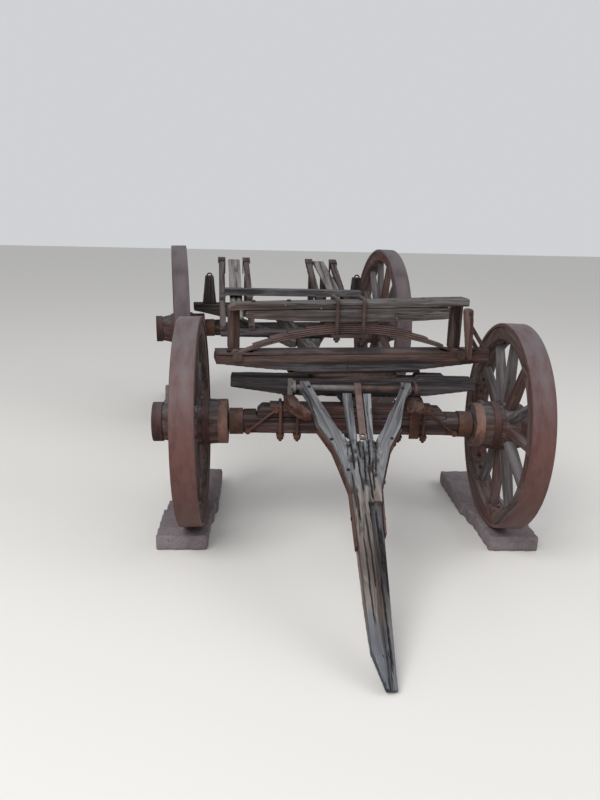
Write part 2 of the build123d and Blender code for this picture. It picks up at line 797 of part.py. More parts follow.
# Reach pole
with BuildPart() as reach:
    with BuildSketch(Plane.YZ.offset(-reach_width / 2)):
        with BuildLine():
            Polyline(
                (-reach_ahead, reach_front_z - reach_slope * reach_ahead),
                (wheelbase + reach_behind, rear_seat_z + reach_slope * reach_behind),
                (wheelbase + reach_behind, rear_seat_z + reach_slope * reach_behind + reach_height),
                (-reach_ahead, reach_front_z - reach_slope * reach_ahead + reach_height),
                close=True,
            )
        make_face()
    extrude(amount=reach_width)
    with Locations((0, 0, sand_bolster_z)):
        Hole(king_pin_radius)

# Upper rub plate and king pin
with BuildPart() as king_pin:
    with BuildSketch(Plane.XY.offset(upper_plate_z)):
        SlotOverall(rub_plate_length, rub_plate_width)
    extrude(amount=rub_plate_thickness)
    with BuildSketch(Plane.XY.offset(clip_foot - 34)):
        Circle(king_pin_radius)
    extrude(amount=upper_plate_z - clip_foot + 34)
    with BuildSketch(Plane.XY.offset(clip_foot - 26)):
        RegularPolygon(24, 6, major_radius=False)
    extrude(amount=20)

# Spring beam, tapered underneath towards its ends, with a notch for each spring eye
with BuildPart() as spring_beam:
    with BuildSketch(Plane.XZ.offset(-beam_depth / 2)):
        with BuildLine():
            end_z = beam_top - beam_end_height
            Polyline(
                (-beam_half_length, end_z),
                (-beam_flat, beam_z),
                (beam_flat, beam_z),
                (beam_half_length, end_z),
                (beam_half_length, beam_top),
                (-beam_half_length, beam_top),
                close=True,
            )
        make_face()
    extrude(amount=beam_depth)

eye_notch_floor = eye_z - spring_eye_radius - 1
eye_places = (spring_shift - spring_span, spring_shift + spring_span)
with BuildPart() as spring_plates:
    with BuildSketch(Plane.XY.offset(beam_top)):
        Rectangle(2 * beam_half_length - 10, beam_depth)
    extrude(amount=beam_plate_thickness)

for carrier in (spring_beam, spring_plates):
    with carrier:
        with BuildSketch(Plane.XY.offset(eye_notch_floor)):
            for x in eye_places:
                with Locations((x - 0.03 * (x - spring_shift), -eye_notch_depth)):
                    pocket_depth = eye_notch_depth + spring_width / 2 + 2
                    Rectangle(eye_pocket, pocket_depth, align=(Align.CENTER, Align.MIN))
        extrude(amount=60, mode=Mode.SUBTRACT)

with spring_plates:
    with BuildSketch(Plane.XY.offset(strap_z)):
        Rectangle(2 * beam_strap_half_length, beam_depth - 30)
    extrude(amount=beam_plate_thickness)
with spring_beam:
    with BuildSketch(Plane.XY.offset(strap_z)):
        Rectangle(2 * beam_strap_half_length, beam_depth - 30)
    extrude(amount=beam_plate_thickness, mode=Mode.SUBTRACT)

# Cross spring: leaves on arcs that share one centre, the longest below with the two eyes
leaf_radius = (spring_span**2 + spring_rise**2) / (2 * spring_rise)
leaf_centre_z = eye_z + spring_rise - leaf_radius
with BuildPart() as leaf_spring:
    for index in range(leaf_count):
        half_length = spring_span - index * (spring_span - shortest_leaf) / (leaf_count - 1)
        inner = leaf_radius + (index - 0.5) * leaf_thickness
        sweep_angle = degrees(asin(half_length / leaf_radius))
        with BuildSketch(Plane.XZ.offset(-spring_width / 2)):
            with BuildLine():
                start, size = 90 - sweep_angle, 2 * sweep_angle
                low = CenterArc((spring_shift, leaf_centre_z), inner, start, size)
                high = CenterArc((spring_shift, leaf_centre_z), inner + leaf_thickness, start, size)
                Line(low @ 0, high @ 0)
                Line(low @ 1, high @ 1)
            make_face()
        extrude(amount=spring_width)
    with BuildSketch(Plane.XZ.offset(-spring_width / 2)):
        with Locations(*[(x, eye_z) for x in eye_places]):
            Circle(spring_eye_radius)
    extrude(amount=spring_width)
    with BuildSketch(Plane.XZ.offset(-spring_width / 2)):
        with Locations(*[(x, eye_z) for x in eye_places]):
            Circle(spring_bolt_radius)
    extrude(amount=spring_width, mode=Mode.SUBTRACT)

# Eye bolts, through the beam and the eyes, each with a round cap on the beam's front
with spring_plates:
    for x in eye_places:
        with BuildSketch(Plane.XZ.offset(beam_depth / 2)):
            with Locations((x, eye_z)):
                Circle(eye_cap_radius)
        extrude(amount=eye_cap_thickness)
        with BuildSketch(Plane.XZ.offset(beam_depth / 2)):
            with Locations((x, eye_z)):
                Circle(spring_bolt_radius)
        extrude(amount=-(beam_depth - 6))
with spring_beam:
    add(spring_plates.part, mode=Mode.SUBTRACT)

# Upper bolster: two planks, the lower one thinner at its ends
def seam_z(x):
    """Height of the joint between the two planks."""
    return upper_plank_z + bolster_slope * (x - bolster_shift)


def plank_top_z(x):
    """Height of the upper plank's top, which rises a little more than the joint."""
    swell = upper_plank_swell * (x - bolster_shift) / beam_half_length
    return seam_z(x) + upper_plank_height + swell


with BuildPart() as lower_plank:
    with BuildSketch(Plane.XZ.offset(-bolster_depth / 2)):
        with BuildLine():
            end_lift = lower_plank_height - lower_plank_end_height
            half_length = beam_half_length - lower_plank_inset
            Polyline(
                (bolster_shift - half_length, spring_top + end_lift),
                (bolster_shift - half_length + lower_plank_taper, spring_top),
                (bolster_shift + half_length - lower_plank_taper, spring_top),
                (bolster_shift + half_length, spring_top + end_lift),
                (bolster_shift + half_length, seam_z(bolster_shift + half_length)),
                (bolster_shift - half_length, seam_z(bolster_shift - half_length)),
                close=True,
            )
        make_face()
    extrude(amount=bolster_depth)

with BuildPart() as upper_plank:
    with BuildSketch(Plane.XZ.offset(-bolster_depth / 2)):
        with BuildLine():
            plank_half = beam_half_length - upper_plank_inset
            plank_middle = bolster_shift + upper_plank_shift
            plank_right, plank_left = plank_middle - plank_half, plank_middle + plank_half
            cut_end = plank_right + upper_plank_cut
            Polyline(
                (plank_right, seam_z(plank_right)),
                (plank_left, seam_z(plank_left)),
                (plank_left, plank_top_z(plank_left)),
                (cut_end, plank_top_z(cut_end)),
                (plank_right + upper_plank_cut / 4, seam_z(plank_right) + upper_plank_height * 0.6),
                (plank_right, seam_z(plank_right) + upper_plank_height * 0.3),
                close=True,
            )
        make_face()
    extrude(amount=bolster_depth)
    # Its long upper edges clear the inner sides of the clips' bends.
    upper_edges = upper_plank.faces().sort_by(Axis.Z)[-1].edges().sort_by(SortBy.LENGTH)[-2:]
    chamfer(upper_edges, clip_bend - ubolt_radius + 0.5)

# Spring clips: two rods over the bolster and through a plate under the spring
clip_plate_z = eye_z + spring_rise - 0.5 * leaf_thickness - 12
ubolt_y = bolster_depth / 2 + ubolt_radius
ubolt_top = plank_top_z(bolster_shift + ubolt_spacing / 2 + ubolt_radius) + ubolt_radius
with BuildPart() as spring_clip:
    with BuildLine(Plane.YZ):
        ubolt_ends = ((-ubolt_y, clip_plate_z - 22), (ubolt_y, clip_plate_z - 22))
        ubolt_corners = ((-ubolt_y, ubolt_top), (ubolt_y, ubolt_top))
        ubolt_line = FilletPolyline(ubolt_ends[0], *ubolt_corners, ubolt_ends[1], radius=clip_bend)
    with BuildSketch(Plane(origin=ubolt_line @ 0, z_dir=ubolt_line % 0)):
        Circle(ubolt_radius)
    sweep(path=ubolt_line)

with BuildPart() as spring_clips:
    ubolt_xs = (bolster_shift - ubolt_spacing / 2, bolster_shift + ubolt_spacing / 2)
    with Locations(*[(x, 0, 0) for x in ubolt_xs]):
        add(spring_clip.part)
    with BuildSketch(Plane.XY.offset(clip_plate_z - clip_nut)):
        with Locations(*[(x, y) for x in ubolt_xs for y in (-ubolt_y, ubolt_y)]):
            RegularPolygon(clip_nut, 6, major_radius=False)
    extrude(amount=clip_nut)
    with BuildSketch(Plane.XY.offset(clip_plate_z)):
        with Locations((bolster_shift, 0)):
            Rectangle(ubolt_spacing + 2 * clip_plate_reach, 2 * (ubolt_y + clip_plate_reach))
    extrude(amount=11)
    add(leaf_spring.part, mode=Mode.SUBTRACT)
# Posts that steady the bolster's ends, and the guard post with its braces
left_post, right_post = post_places
post_xs = (left_post - beam_half_length, beam_half_length - right_post)
with BuildPart() as bolster_posts:
    for x in post_xs:
        with BuildSketch(Plane.XY.offset(beam_deck)):
            with Locations((x, spring_width / 2 + 3)):
                Rectangle(post_width, post_depth, align=(Align.CENTER, Align.MIN))
        extrude(amount=seam_z(x - post_width / 2) - beam_deck)
guard_x = beam_half_length - guard_post_inset
with BuildPart() as guard_post:
    with BuildSketch(Plane.XZ.offset(beam_depth / 2)):
        with BuildLine():
            head_z = upper_plank_z + guard_post_head
            foot_z = beam_top - guard_post_foot
            Polyline(
                (guard_x - guard_post_width / 2, head_z),
                (guard_x + guard_post_width / 2, head_z),
                (guard_x + guard_post_lean + guard_post_foot_width / 2, foot_z),
                (guard_x + guard_post_lean - guard_post_foot_width / 2, foot_z),
                close=True,
            )
        make_face()
    extrude(amount=guard_post_depth)
    fillet(guard_post.faces().sort_by(Axis.Z)[-1].edges().filter_by(Axis.Y), guard_post_round)
    add(spring_plates.part, mode=Mode.SUBTRACT)

# Iron braces from the guard post's back down to the beam's end
with BuildPart() as guard_braces:
    for drop, inset in brace_places:
        head_z = upper_plank_z - drop
        foot_x = beam_half_length - inset
        with BuildSketch(Plane.XZ.offset(beam_depth / 2)):
            with BuildLine():
                Polyline(
                    (guard_x, head_z),
                    (guard_x, head_z - brace_width),
                    (foot_x - 22, beam_deck),
                    (foot_x, beam_deck),
                    close=True,
                )
            make_face()
        extrude(amount=-brace_thickness)
    with BuildSketch(Plane.XY.offset(beam_deck)):
        with Locations((beam_half_length - 5, -beam_depth / 2)):
            Rectangle(70, 40, align=(Align.MAX, Align.MIN))
    extrude(amount=brace_thickness)

# Rear hounds, from the rear axle in to the reach
with BuildPart() as rear_hounds:
    front_y = wheelbase - rear_hound_front
    for side in (-1, 1):
        with BuildSketch(Plane.XY.offset(reach_front_z)):
            with BuildLine():
                half_reach = reach_width / 2
                Polyline(
                    (side * half_reach, front_y),
                    (side * (half_reach + 50), front_y),
                    (side * (rear_hound_spread + 50), wheelbase - 60),
                    (side * (rear_hound_spread + 50), wheelbase + 70),
                    (side * rear_hound_spread, wheelbase + 70),
                    (side * rear_hound_spread, wheelbase - 50),
                    (side * half_reach, front_y + 90),
                    close=True,
                )
            make_face()
        extrude(amount=160)
    slab_low = Plane.YZ.offset(-500)
    with BuildSketch(slab_low):
        with BuildLine():
            Polyline(
                (front_y - 10, reach_top(front_y - 10) - reach_height),
                (wheelbase + 90, reach_top(wheelbase + 90) - reach_height),
                (wheelbase + 90, reach_top(wheelbase + 90)),
                (front_y - 10, reach_top(front_y - 10)),
                close=True,
            )
        make_face()
    extrude(amount=1000, mode=Mode.INTERSECT)
with rear_axle:
    add(reach.part, mode=Mode.SUBTRACT)
    add(rear_hounds.part, mode=Mode.SUBTRACT)

# Rear bolster and its stakes
with BuildPart() as rear_bolster:
    with BuildSketch(Plane.XZ.offset(-wheelbase - rear_bolster_depth / 2)):
        with BuildLine():
            Polyline(
                (-rear_bolster_half_length, rear_bolster_z + rear_bolster_lift),
                (-rear_bolster_half_length + rear_bolster_taper, rear_bolster_z),
                (rear_bolster_half_length - rear_bolster_taper, rear_bolster_z),
                (rear_bolster_half_length, rear_bolster_z + rear_bolster_lift),
                (rear_bolster_half_length, rear_bolster_top),
                (-rear_bolster_half_length, rear_bolster_top),
                close=True,
            )
        make_face()
    extrude(amount=rear_bolster_depth)
    add(reach.part, mode=Mode.SUBTRACT)
    add(rear_hounds.part, mode=Mode.SUBTRACT)

with BuildPart() as rear_stakes:
    for side in (-1, 1):
        x = side * stake_place
        with BuildSketch(Plane.XZ.offset(-wheelbase - stake_depth / 2)):
            with BuildLine():
                Polyline(
                    (x - stake_foot_width / 2, rear_bolster_top),
                    (x + stake_foot_width / 2, rear_bolster_top),
                    (x + stake_head_width / 2, rear_bolster_top + stake_height),
                    (x - stake_head_width / 2, rear_bolster_top + stake_height),
                    close=True,
                )
            make_face()
        extrude(amount=stake_depth)
        with BuildSketch(Plane.XZ.offset(-wheelbase - ring_rod_radius)):
            with Locations((x, rear_bolster_top + stake_height)):
                Circle(ring_radius)
                Circle(ring_radius - 2 * ring_rod_radius, mode=Mode.SUBTRACT)
        extrude(amount=2 * ring_rod_radius)

# Cross bar over the hounds and reach
with BuildPart() as cross_bar:
    with BuildSketch(Plane.XY.offset(cross_bar_z)):
        with Locations((0, cross_bar_y)):
            Rectangle(2 * cross_bar_half_length, cross_bar_depth)
    extrude(amount=cross_bar_height)

# Skids, rising from the cross bar over the rear bolster
with BuildPart() as skids:
    for side in (-1, 1):
        for place in skid_places:
            with BuildSketch(Plane.YZ.offset(side * place - skid_width / 2)):
                with BuildLine():
                    Polyline(
                        (skid_front_y, cross_bar_top),
                        (cross_bar_y, cross_bar_top),
                        (skid_tail_y, skid_under(skid_tail_y)),
                        (skid_tail_y, skid_under(skid_tail_y) + skid_depth_z),
                        (skid_front_y, skid_under(skid_front_y) + skid_depth_z),
                        close=True,
                    )
                make_face()
            extrude(amount=skid_width)

with BuildPart() as skid_posts:
    for side in (-1, 1):
        for place in skid_places:
            with BuildSketch(Plane.YZ.offset(side * place - skid_width / 2)):
                with BuildLine():
                    Polyline(
                        (wheelbase - skid_post_depth / 2, rear_bolster_top),
                        (wheelbase + skid_post_depth / 2, rear_bolster_top),
                        (wheelbase + skid_post_depth / 2, skid_under(wheelbase + skid_post_depth / 2)),
                        (wheelbase - skid_post_depth / 2, skid_under(wheelbase - skid_post_depth / 2)),
                        close=True,
                    )
                make_face()
            extrude(amount=skid_width)


def skid_top(y):
    """Height of a skid's upper face at a place along the wagon."""
    return skid_under(y) + skid_depth_z


# The boards' blocks stand between the posts.
block_reach = 25.0
board_low = skid_top(wheelbase) - board_thickness / cos(skid_angle)
with skid_posts:
    for side in (-1, 1):
        with BuildSketch(Plane.YZ.offset(side * sum(skid_places) / 2 - block_reach)):
            with BuildLine():
                Polyline(
                    (wheelbase - block_reach, rear_bolster_top),
                    (wheelbase + block_reach, rear_bolster_top),
                    (wheelbase + block_reach, board_low + block_reach * skid_rise),
                    (wheelbase - block_reach, board_low - block_reach * skid_rise),
                    close=True,
                )
            make_face()
        extrude(amount=2 * block_reach)

# Beam across the skids, on a wedge over each of them
beam_front_y = skid_beam_y - skid_beam_depth / 2
beam_back_y = skid_beam_y + skid_beam_depth / 2
with BuildPart() as skid_beam:
    with BuildSketch(Plane.XY.offset(skid_beam_z)):
        with Locations((skid_beam_shift, skid_beam_y)):
            Rectangle(2 * skid_beam_half_length, skid_beam_depth)
    extrude(amount=skid_beam_height)
    for side in (-1, 1):
        for place in skid_places:
            with BuildSketch(Plane.YZ.offset(side * place - skid_width / 2)):
                with BuildLine():
                    Polyline(
                        (beam_front_y, skid_top(beam_front_y)),
                        (beam_back_y, skid_beam_z),
                        (beam_front_y, skid_beam_z),
                        close=True,
                    )
                make_face()
            extrude(amount=skid_width)

# Iron caps on the skids' tails, each with a strap down its inner side
with BuildPart() as skid_irons:
    for side in (-1, 1):
        for place in skid_places:
            inner = -1 if place == max(skid_places) else 1
            x = side * place
            cap_y = skid_tail_y - cap_length
            with BuildSketch(Plane.YZ.offset(x - skid_width / 2 - cap_thickness)):
                with BuildLine():
                    Polyline(
                        (cap_y, skid_top(cap_y) - 14),
                        (skid_tail_y + cap_thickness, skid_top(skid_tail_y) - 14),
                        (skid_tail_y + cap_thickness, skid_top(skid_tail_y) + cap_thickness),
                        (cap_y, skid_top(cap_y) + cap_thickness),
                        close=True,
                    )
                make_face()
            extrude(amount=skid_width + 2 * cap_thickness)
            strap_x = x + side * inner * (skid_width + cap_thickness) / 2 - cap_thickness / 2
            with BuildSketch(Plane.YZ.offset(strap_x)):
                with BuildLine():
                    Polyline(
                        (cap_y, skid_top(cap_y)),
                        (cap_y + 12, skid_top(cap_y) - cap_drop),
                        (cap_y + 36, skid_top(cap_y) - cap_drop),
                        (skid_tail_y, skid_top(skid_tail_y) - 10),
                        close=True,
                    )
                make_face()
            extrude(amount=cap_thickness)
    add(skids.part, mode=Mode.SUBTRACT)

# Boards between the skids: one fixed, one loose and lying askew
with BuildPart() as skid_boards:
    for side, length, skew in ((-1, board_length, 0), (1, loose_board_length, board_skew)):
        middle = side * sum(skid_places) / 2
        end_y = skid_tail_y - 8
        along = Plane(
            origin=(middle, end_y, skid_top(end_y) - board_thickness / cos(skid_angle)),
            x_dir=(1, 0, 0),
            z_dir=(0, -sin(skid_angle), cos(skid_angle)),
        )
        with BuildSketch(along):
            with Locations((-20 if skew else 0, 0)):
                Rectangle(board_width, length, align=(Align.CENTER, Align.MAX), rotation=skew)
        extrude(amount=board_thickness)
    add(skids.part, mode=Mode.SUBTRACT)
    add(skid_irons.part, mode=Mode.SUBTRACT)


# Concrete pads, each cast in three blocks that step inwards
def make_pads(y):
    """The two pads under one axle's wheels."""
    with BuildPart() as pads:
        for side in (-1, 1):
            start = y - pad_ahead
            for index, length in enumerate(pad_blocks):
                x = side * (pad_inner - index * pad_step + pad_width / 2)
                with BuildSketch():
                    with Locations((x, start + length / 2)):
                        Rectangle(pad_width, length)
                extrude(amount=pad_height)
                start += length
    return pads


front_pads = make_pads(0)
rear_pads = make_pads(wheelbase)

gear_parts = {
    "front_axle": front_axle, "front_axle_arms": front_arms, "front_axle_bed": axle_bed,
    "front_hounds": hounds, "sand_bolster": sand_bolster, "lower_rub_plate": lower_rub_plate,
    "front_axle_irons": axle_irons, "tongue_pin": tongue_pin, "front_pads": front_pads,
}
tongue_parts = {"tongue": tongue, "tongue_boards": tongue_boards, "tongue_irons": tongue_irons}
skid_parts = {
    "cross_bar": cross_bar, "skids": skids, "skid_posts": skid_posts, "skid_beam": skid_beam,
    "skid_irons": skid_irons, "skid_boards": skid_boards,
}
root_parts = {
    "rear_axle": rear_axle, "rear_axle_arms": rear_arms, "reach": reach, "king_pin": king_pin,
    "spring_beam": spring_beam, "spring_beam_irons": spring_plates, "leaf_spring": leaf_spring,
    "lower_bolster_plank": lower_plank, "upper_bolster_plank": upper_plank,
    "spring_clips": spring_clips, "bolster_posts": bolster_posts, "guard_post": guard_post,
    "guard_brace": guard_braces, "rear_hounds": rear_hounds, "rear_bolster": rear_bolster,
    "rear_stakes": rear_stakes, "rear_pads": rear_pads,
}
for name, built in {**gear_parts, **skid_parts, **root_parts}.items():
    pieces[name] = built.part
for name, built in tongue_parts.items():
    pieces[name] = tongue_frame * built.part

# Parked places: the front gear turned about the king pin, and the skids a little askew
gear_turn = Location((0, 0, 0), (0, 0, parked_steer))
skid_turn = Location((skid_shift, wheelbase, 0), (0, 0, skid_skew)) * Location((0, -wheelbase, 0))
turned = set(gear_parts) | set(tongue_parts)
for name, solid in pieces.items():
    if name in turned or name.startswith("front_"):
        pieces[name] = gear_turn * solid
    elif name in skid_parts:
        pieces[name] = skid_turn * solid

# The origin is moved from the king pin to the middle of the whole.
boxes = [solid.bounding_box() for solid in pieces.values()]
middle_x = (min(box.min.X for box in boxes) + max(box.max.X for box in boxes)) / 2
middle_y = (min(box.min.Y for box in boxes) + max(box.max.Y for box in boxes)) / 2
for name, solid in pieces.items():
    placed = Location((-middle_x, -middle_y, 0)) * solid
    placed.label = name
    export_step(placed, f"parts/{name}.step")
    print(name, len(placed.solids()))
print("king pin at", -middle_x, -middle_y, "drop", tongue_drop, "base", min(box.min.Z for box in boxes))
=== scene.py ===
import json
import math
import random

import bpy
from mathutils import Matrix, Vector, noise


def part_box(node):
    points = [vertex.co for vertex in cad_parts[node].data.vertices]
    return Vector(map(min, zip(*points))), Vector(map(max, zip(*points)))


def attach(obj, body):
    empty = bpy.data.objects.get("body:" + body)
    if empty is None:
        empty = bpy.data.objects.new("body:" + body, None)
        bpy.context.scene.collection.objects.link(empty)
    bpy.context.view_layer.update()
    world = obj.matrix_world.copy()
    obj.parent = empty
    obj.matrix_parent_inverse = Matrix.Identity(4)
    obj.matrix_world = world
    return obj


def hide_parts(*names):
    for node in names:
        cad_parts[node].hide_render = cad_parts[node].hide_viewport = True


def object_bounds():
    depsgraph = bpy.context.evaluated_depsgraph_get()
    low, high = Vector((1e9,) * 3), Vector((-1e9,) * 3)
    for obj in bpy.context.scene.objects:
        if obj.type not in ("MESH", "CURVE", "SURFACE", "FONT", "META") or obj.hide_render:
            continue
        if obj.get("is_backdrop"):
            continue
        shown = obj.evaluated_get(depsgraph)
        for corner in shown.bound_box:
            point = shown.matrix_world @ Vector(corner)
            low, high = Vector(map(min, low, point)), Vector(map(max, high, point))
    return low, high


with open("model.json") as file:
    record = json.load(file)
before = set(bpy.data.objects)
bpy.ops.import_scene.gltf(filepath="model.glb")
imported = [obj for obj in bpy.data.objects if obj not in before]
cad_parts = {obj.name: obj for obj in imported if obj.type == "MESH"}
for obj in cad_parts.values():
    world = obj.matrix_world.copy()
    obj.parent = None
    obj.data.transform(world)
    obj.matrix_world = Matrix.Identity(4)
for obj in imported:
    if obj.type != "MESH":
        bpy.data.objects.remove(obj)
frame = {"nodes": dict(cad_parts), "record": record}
cad_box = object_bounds()
nodes = frame["nodes"]
joints = {joint["name"]: joint for joint in frame["record"]["behaviour"]["joints"]}
king_pin = Vector(joints["steering"]["pos_m"])
king_pin.z = 0
quarter_turn = math.radians(90)
parked_turn = math.radians(-7.1)    # of the front gear about the king pin
tongue_slope = math.radians(34.03)  # from level down to the ground
skid_turn = math.radians(-3.7)      # how far the skids have swung round
skid_shift = -0.037
skid_rise = 0.339                   # in each metre of level length
wheelbase = 2.019

# Standing place
# A pale studio floor under the gear, two soft lamps, and the camera in front and to the right
# of the tongue, looking slightly down and a little out of level.
sensor_height, focal_rows, picture_rows = 24, 722.7, 800
camera_place = Vector((-0.818, -3.083, 1.516))  # from the king pin's foot
lamp_aim = Vector((0, 0, 0.6))
camera = bpy.data.objects.new("camera", bpy.data.cameras.new("camera"))
bpy.context.collection.objects.link(camera)
camera.data.sensor_fit = "VERTICAL"
camera.data.sensor_height = sensor_height
camera.data.lens = sensor_height * focal_rows / picture_rows
yaw, pitch, roll = math.radians(10.63), math.radians(15.23), math.radians(1.82)
look = Vector((math.sin(yaw) * math.cos(pitch), math.cos(yaw) * math.cos(pitch), -math.sin(pitch)))
level = look.cross(Vector((0, 0, 1))).normalized()
over = level.cross(look)
right = level * math.cos(roll) + over * math.sin(roll)
top = right.cross(look)
camera.matrix_world = Matrix.Translation(king_pin + camera_place) @ Matrix(
    (right, top, -look)
).transposed().to_4x4()
bpy.context.scene.camera = camera

bpy.ops.mesh.primitive_plane_add(size=40)
floor = bpy.context.object
floor.name = "floor"
floor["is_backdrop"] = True
paper = bpy.data.materials.new("paper")
paper.use_nodes = True
paper.node_tree.nodes["Principled BSDF"].inputs["Base Color"].default_value = (0.66, 0.64, 0.61, 1)
paper.node_tree.nodes["Principled BSDF"].inputs["Roughness"].default_value = 0.9
floor.data.materials.append(paper)
world = bpy.data.worlds.new("world")
bpy.context.scene.world = world
world.use_nodes = True
world.node_tree.nodes["Background"].inputs["Color"].default_value = (0.9, 0.92, 0.95, 1)
world.node_tree.nodes["Background"].inputs["Strength"].default_value = 0.7
for name, place, size, power in (
    ("key", (-3.5, -4.5, 5.5), 4.0, 370),
    ("fill", (5.0, -3.0, 4.0), 4.0, 130),
):
    lamp = bpy.data.objects.new(name, bpy.data.lights.new(name, "AREA"))
    lamp.data.size = size
    lamp.data.energy = power
    bpy.context.collection.objects.link(lamp)
    lamp.location = place
    lamp.rotation_euler = (lamp_aim - lamp.location).to_track_quat("-Z", "Y").to_euler()
bpy.context.scene.view_settings.view_transform = "Standard"


class Surface:
    """A number, colour or direction that varies over a surface, and the sums made with it."""

    def __init__(self, tree, socket):
        self.tree = tree
        self.socket = socket

    def node(self, kind, settings, sockets, output=0):
        """Any shader node from its type, its settings, and the values or links of its sockets."""
        made = self.tree.nodes.new("ShaderNode" + kind)
        for key, value in settings.items():
            setattr(made, key, value)
        for key, value in sockets.items():
            if isinstance(value, Surface):
                self.tree.links.new(value.socket, made.inputs[key])
            else:
                made.inputs[key].default_value = value
        return Surface(self.tree, made.outputs[output])

    def sum(self, operation, *terms):
        """One step of arithmetic."""
        return self.node("Math", {"operation": operation}, dict(enumerate(terms)))

    def part(self, index):
        """The X, Y or Z of a place or direction, by its number."""
        return self.node("SeparateXYZ", {}, {0: self}, index)

    def __add__(self, other):
        return self.sum("ADD", self, other)

    __radd__ = __add__

    def __sub__(self, other):
        return self.sum("SUBTRACT", self, other)

    def __rsub__(self, other):
        return self.sum("SUBTRACT", other, self)

    def __mul__(self, other):
        return self.sum("MULTIPLY", self, other)


def stretched(place, scale):
    """The same place on the surface with its three directions scaled apart."""
    return place.node("VectorMath", {"operation": "MULTIPLY"}, {0: place, 1: scale})


def framed(place, at, turn):
    """The place as a frame reads it that stands at a point and is turned."""
    sockets = {"Vector": place, "Location": at, "Rotation": turn}
    return place.node("Mapping", {"vector_type": "TEXTURE"}, sockets)


def cloud(place, scale, detail=3.0, rough=0.55):
    """Soft noise from 0 to 1, drawn out by the scale."""
    sockets = {"Vector": stretched(place, scale), "Scale": 1.0, "Detail": detail, "Roughness": rough}
    return place.node("TexNoise", {}, sockets)


def cells(place, scale):
    """Distance from scattered points, for knots, pits and stones."""
    sockets = {"Vector": stretched(place, scale), "Scale": 1.0}
    return place.node("TexVoronoi", {"feature": "F1"}, sockets)


def bumped(height, strength, depth):
    """Small relief from a height that varies from about 0 to 1."""
    return height.node("Bump", {}, {"Strength": strength, "Distance": depth, "Height": height})


def between(value, low, high):
    """How far a value has come from low to high, from 0 to 1."""
    return value.node(
        "MapRange",
        {"interpolation_type": "SMOOTHSTEP"},
        {"Value": value, "From Min": low, "From Max": high, "To Min": 0.0, "To Max": 1.0},
    )


def tinted(value, under, over):
    """One colour laid over another by a share from 0 to 1."""
    under = under if isinstance(under, Surface) else (*under, 1)
    over = over if isinstance(over, Surface) else (*over, 1)
    return value.node("Mix", {"data_type": "RGBA"}, {"Factor": value, 6: under, 7: over}, 2)


def new_finish(name):
    """A material with its shader, and the place and facing that its patterns are read from."""
    finish = bpy.data.materials.new(name)
    finish.use_nodes = True
    tree = finish.node_tree
    shader = tree.nodes["Principled BSDF"]
    coordinates = tree.nodes.new("ShaderNodeTexCoord").outputs
    return finish, shader, Surface(tree, coordinates["Object"]), Surface(tree, coordinates["Normal"])


def plug(shader, **inputs):
    """Feeds a shader's sockets."""
    for key, value in inputs.items():
        socket = shader.inputs[key.replace("_", " ")]
        if isinstance(value, Surface):
            value.tree.links.new(value.socket, socket)
        else:
            socket.default_value = value


# Timber finish
# Bare hardwood that has stood outdoors: greyed on top, browner on its sides, with long
# drying cracks, a fine raised grain, a few knots and traces of old red paint.
crack_dark = (0.012, 0.010, 0.010)
knot_dark = (0.020, 0.016, 0.014)
rot_dark = (0.019, 0.017, 0.018)


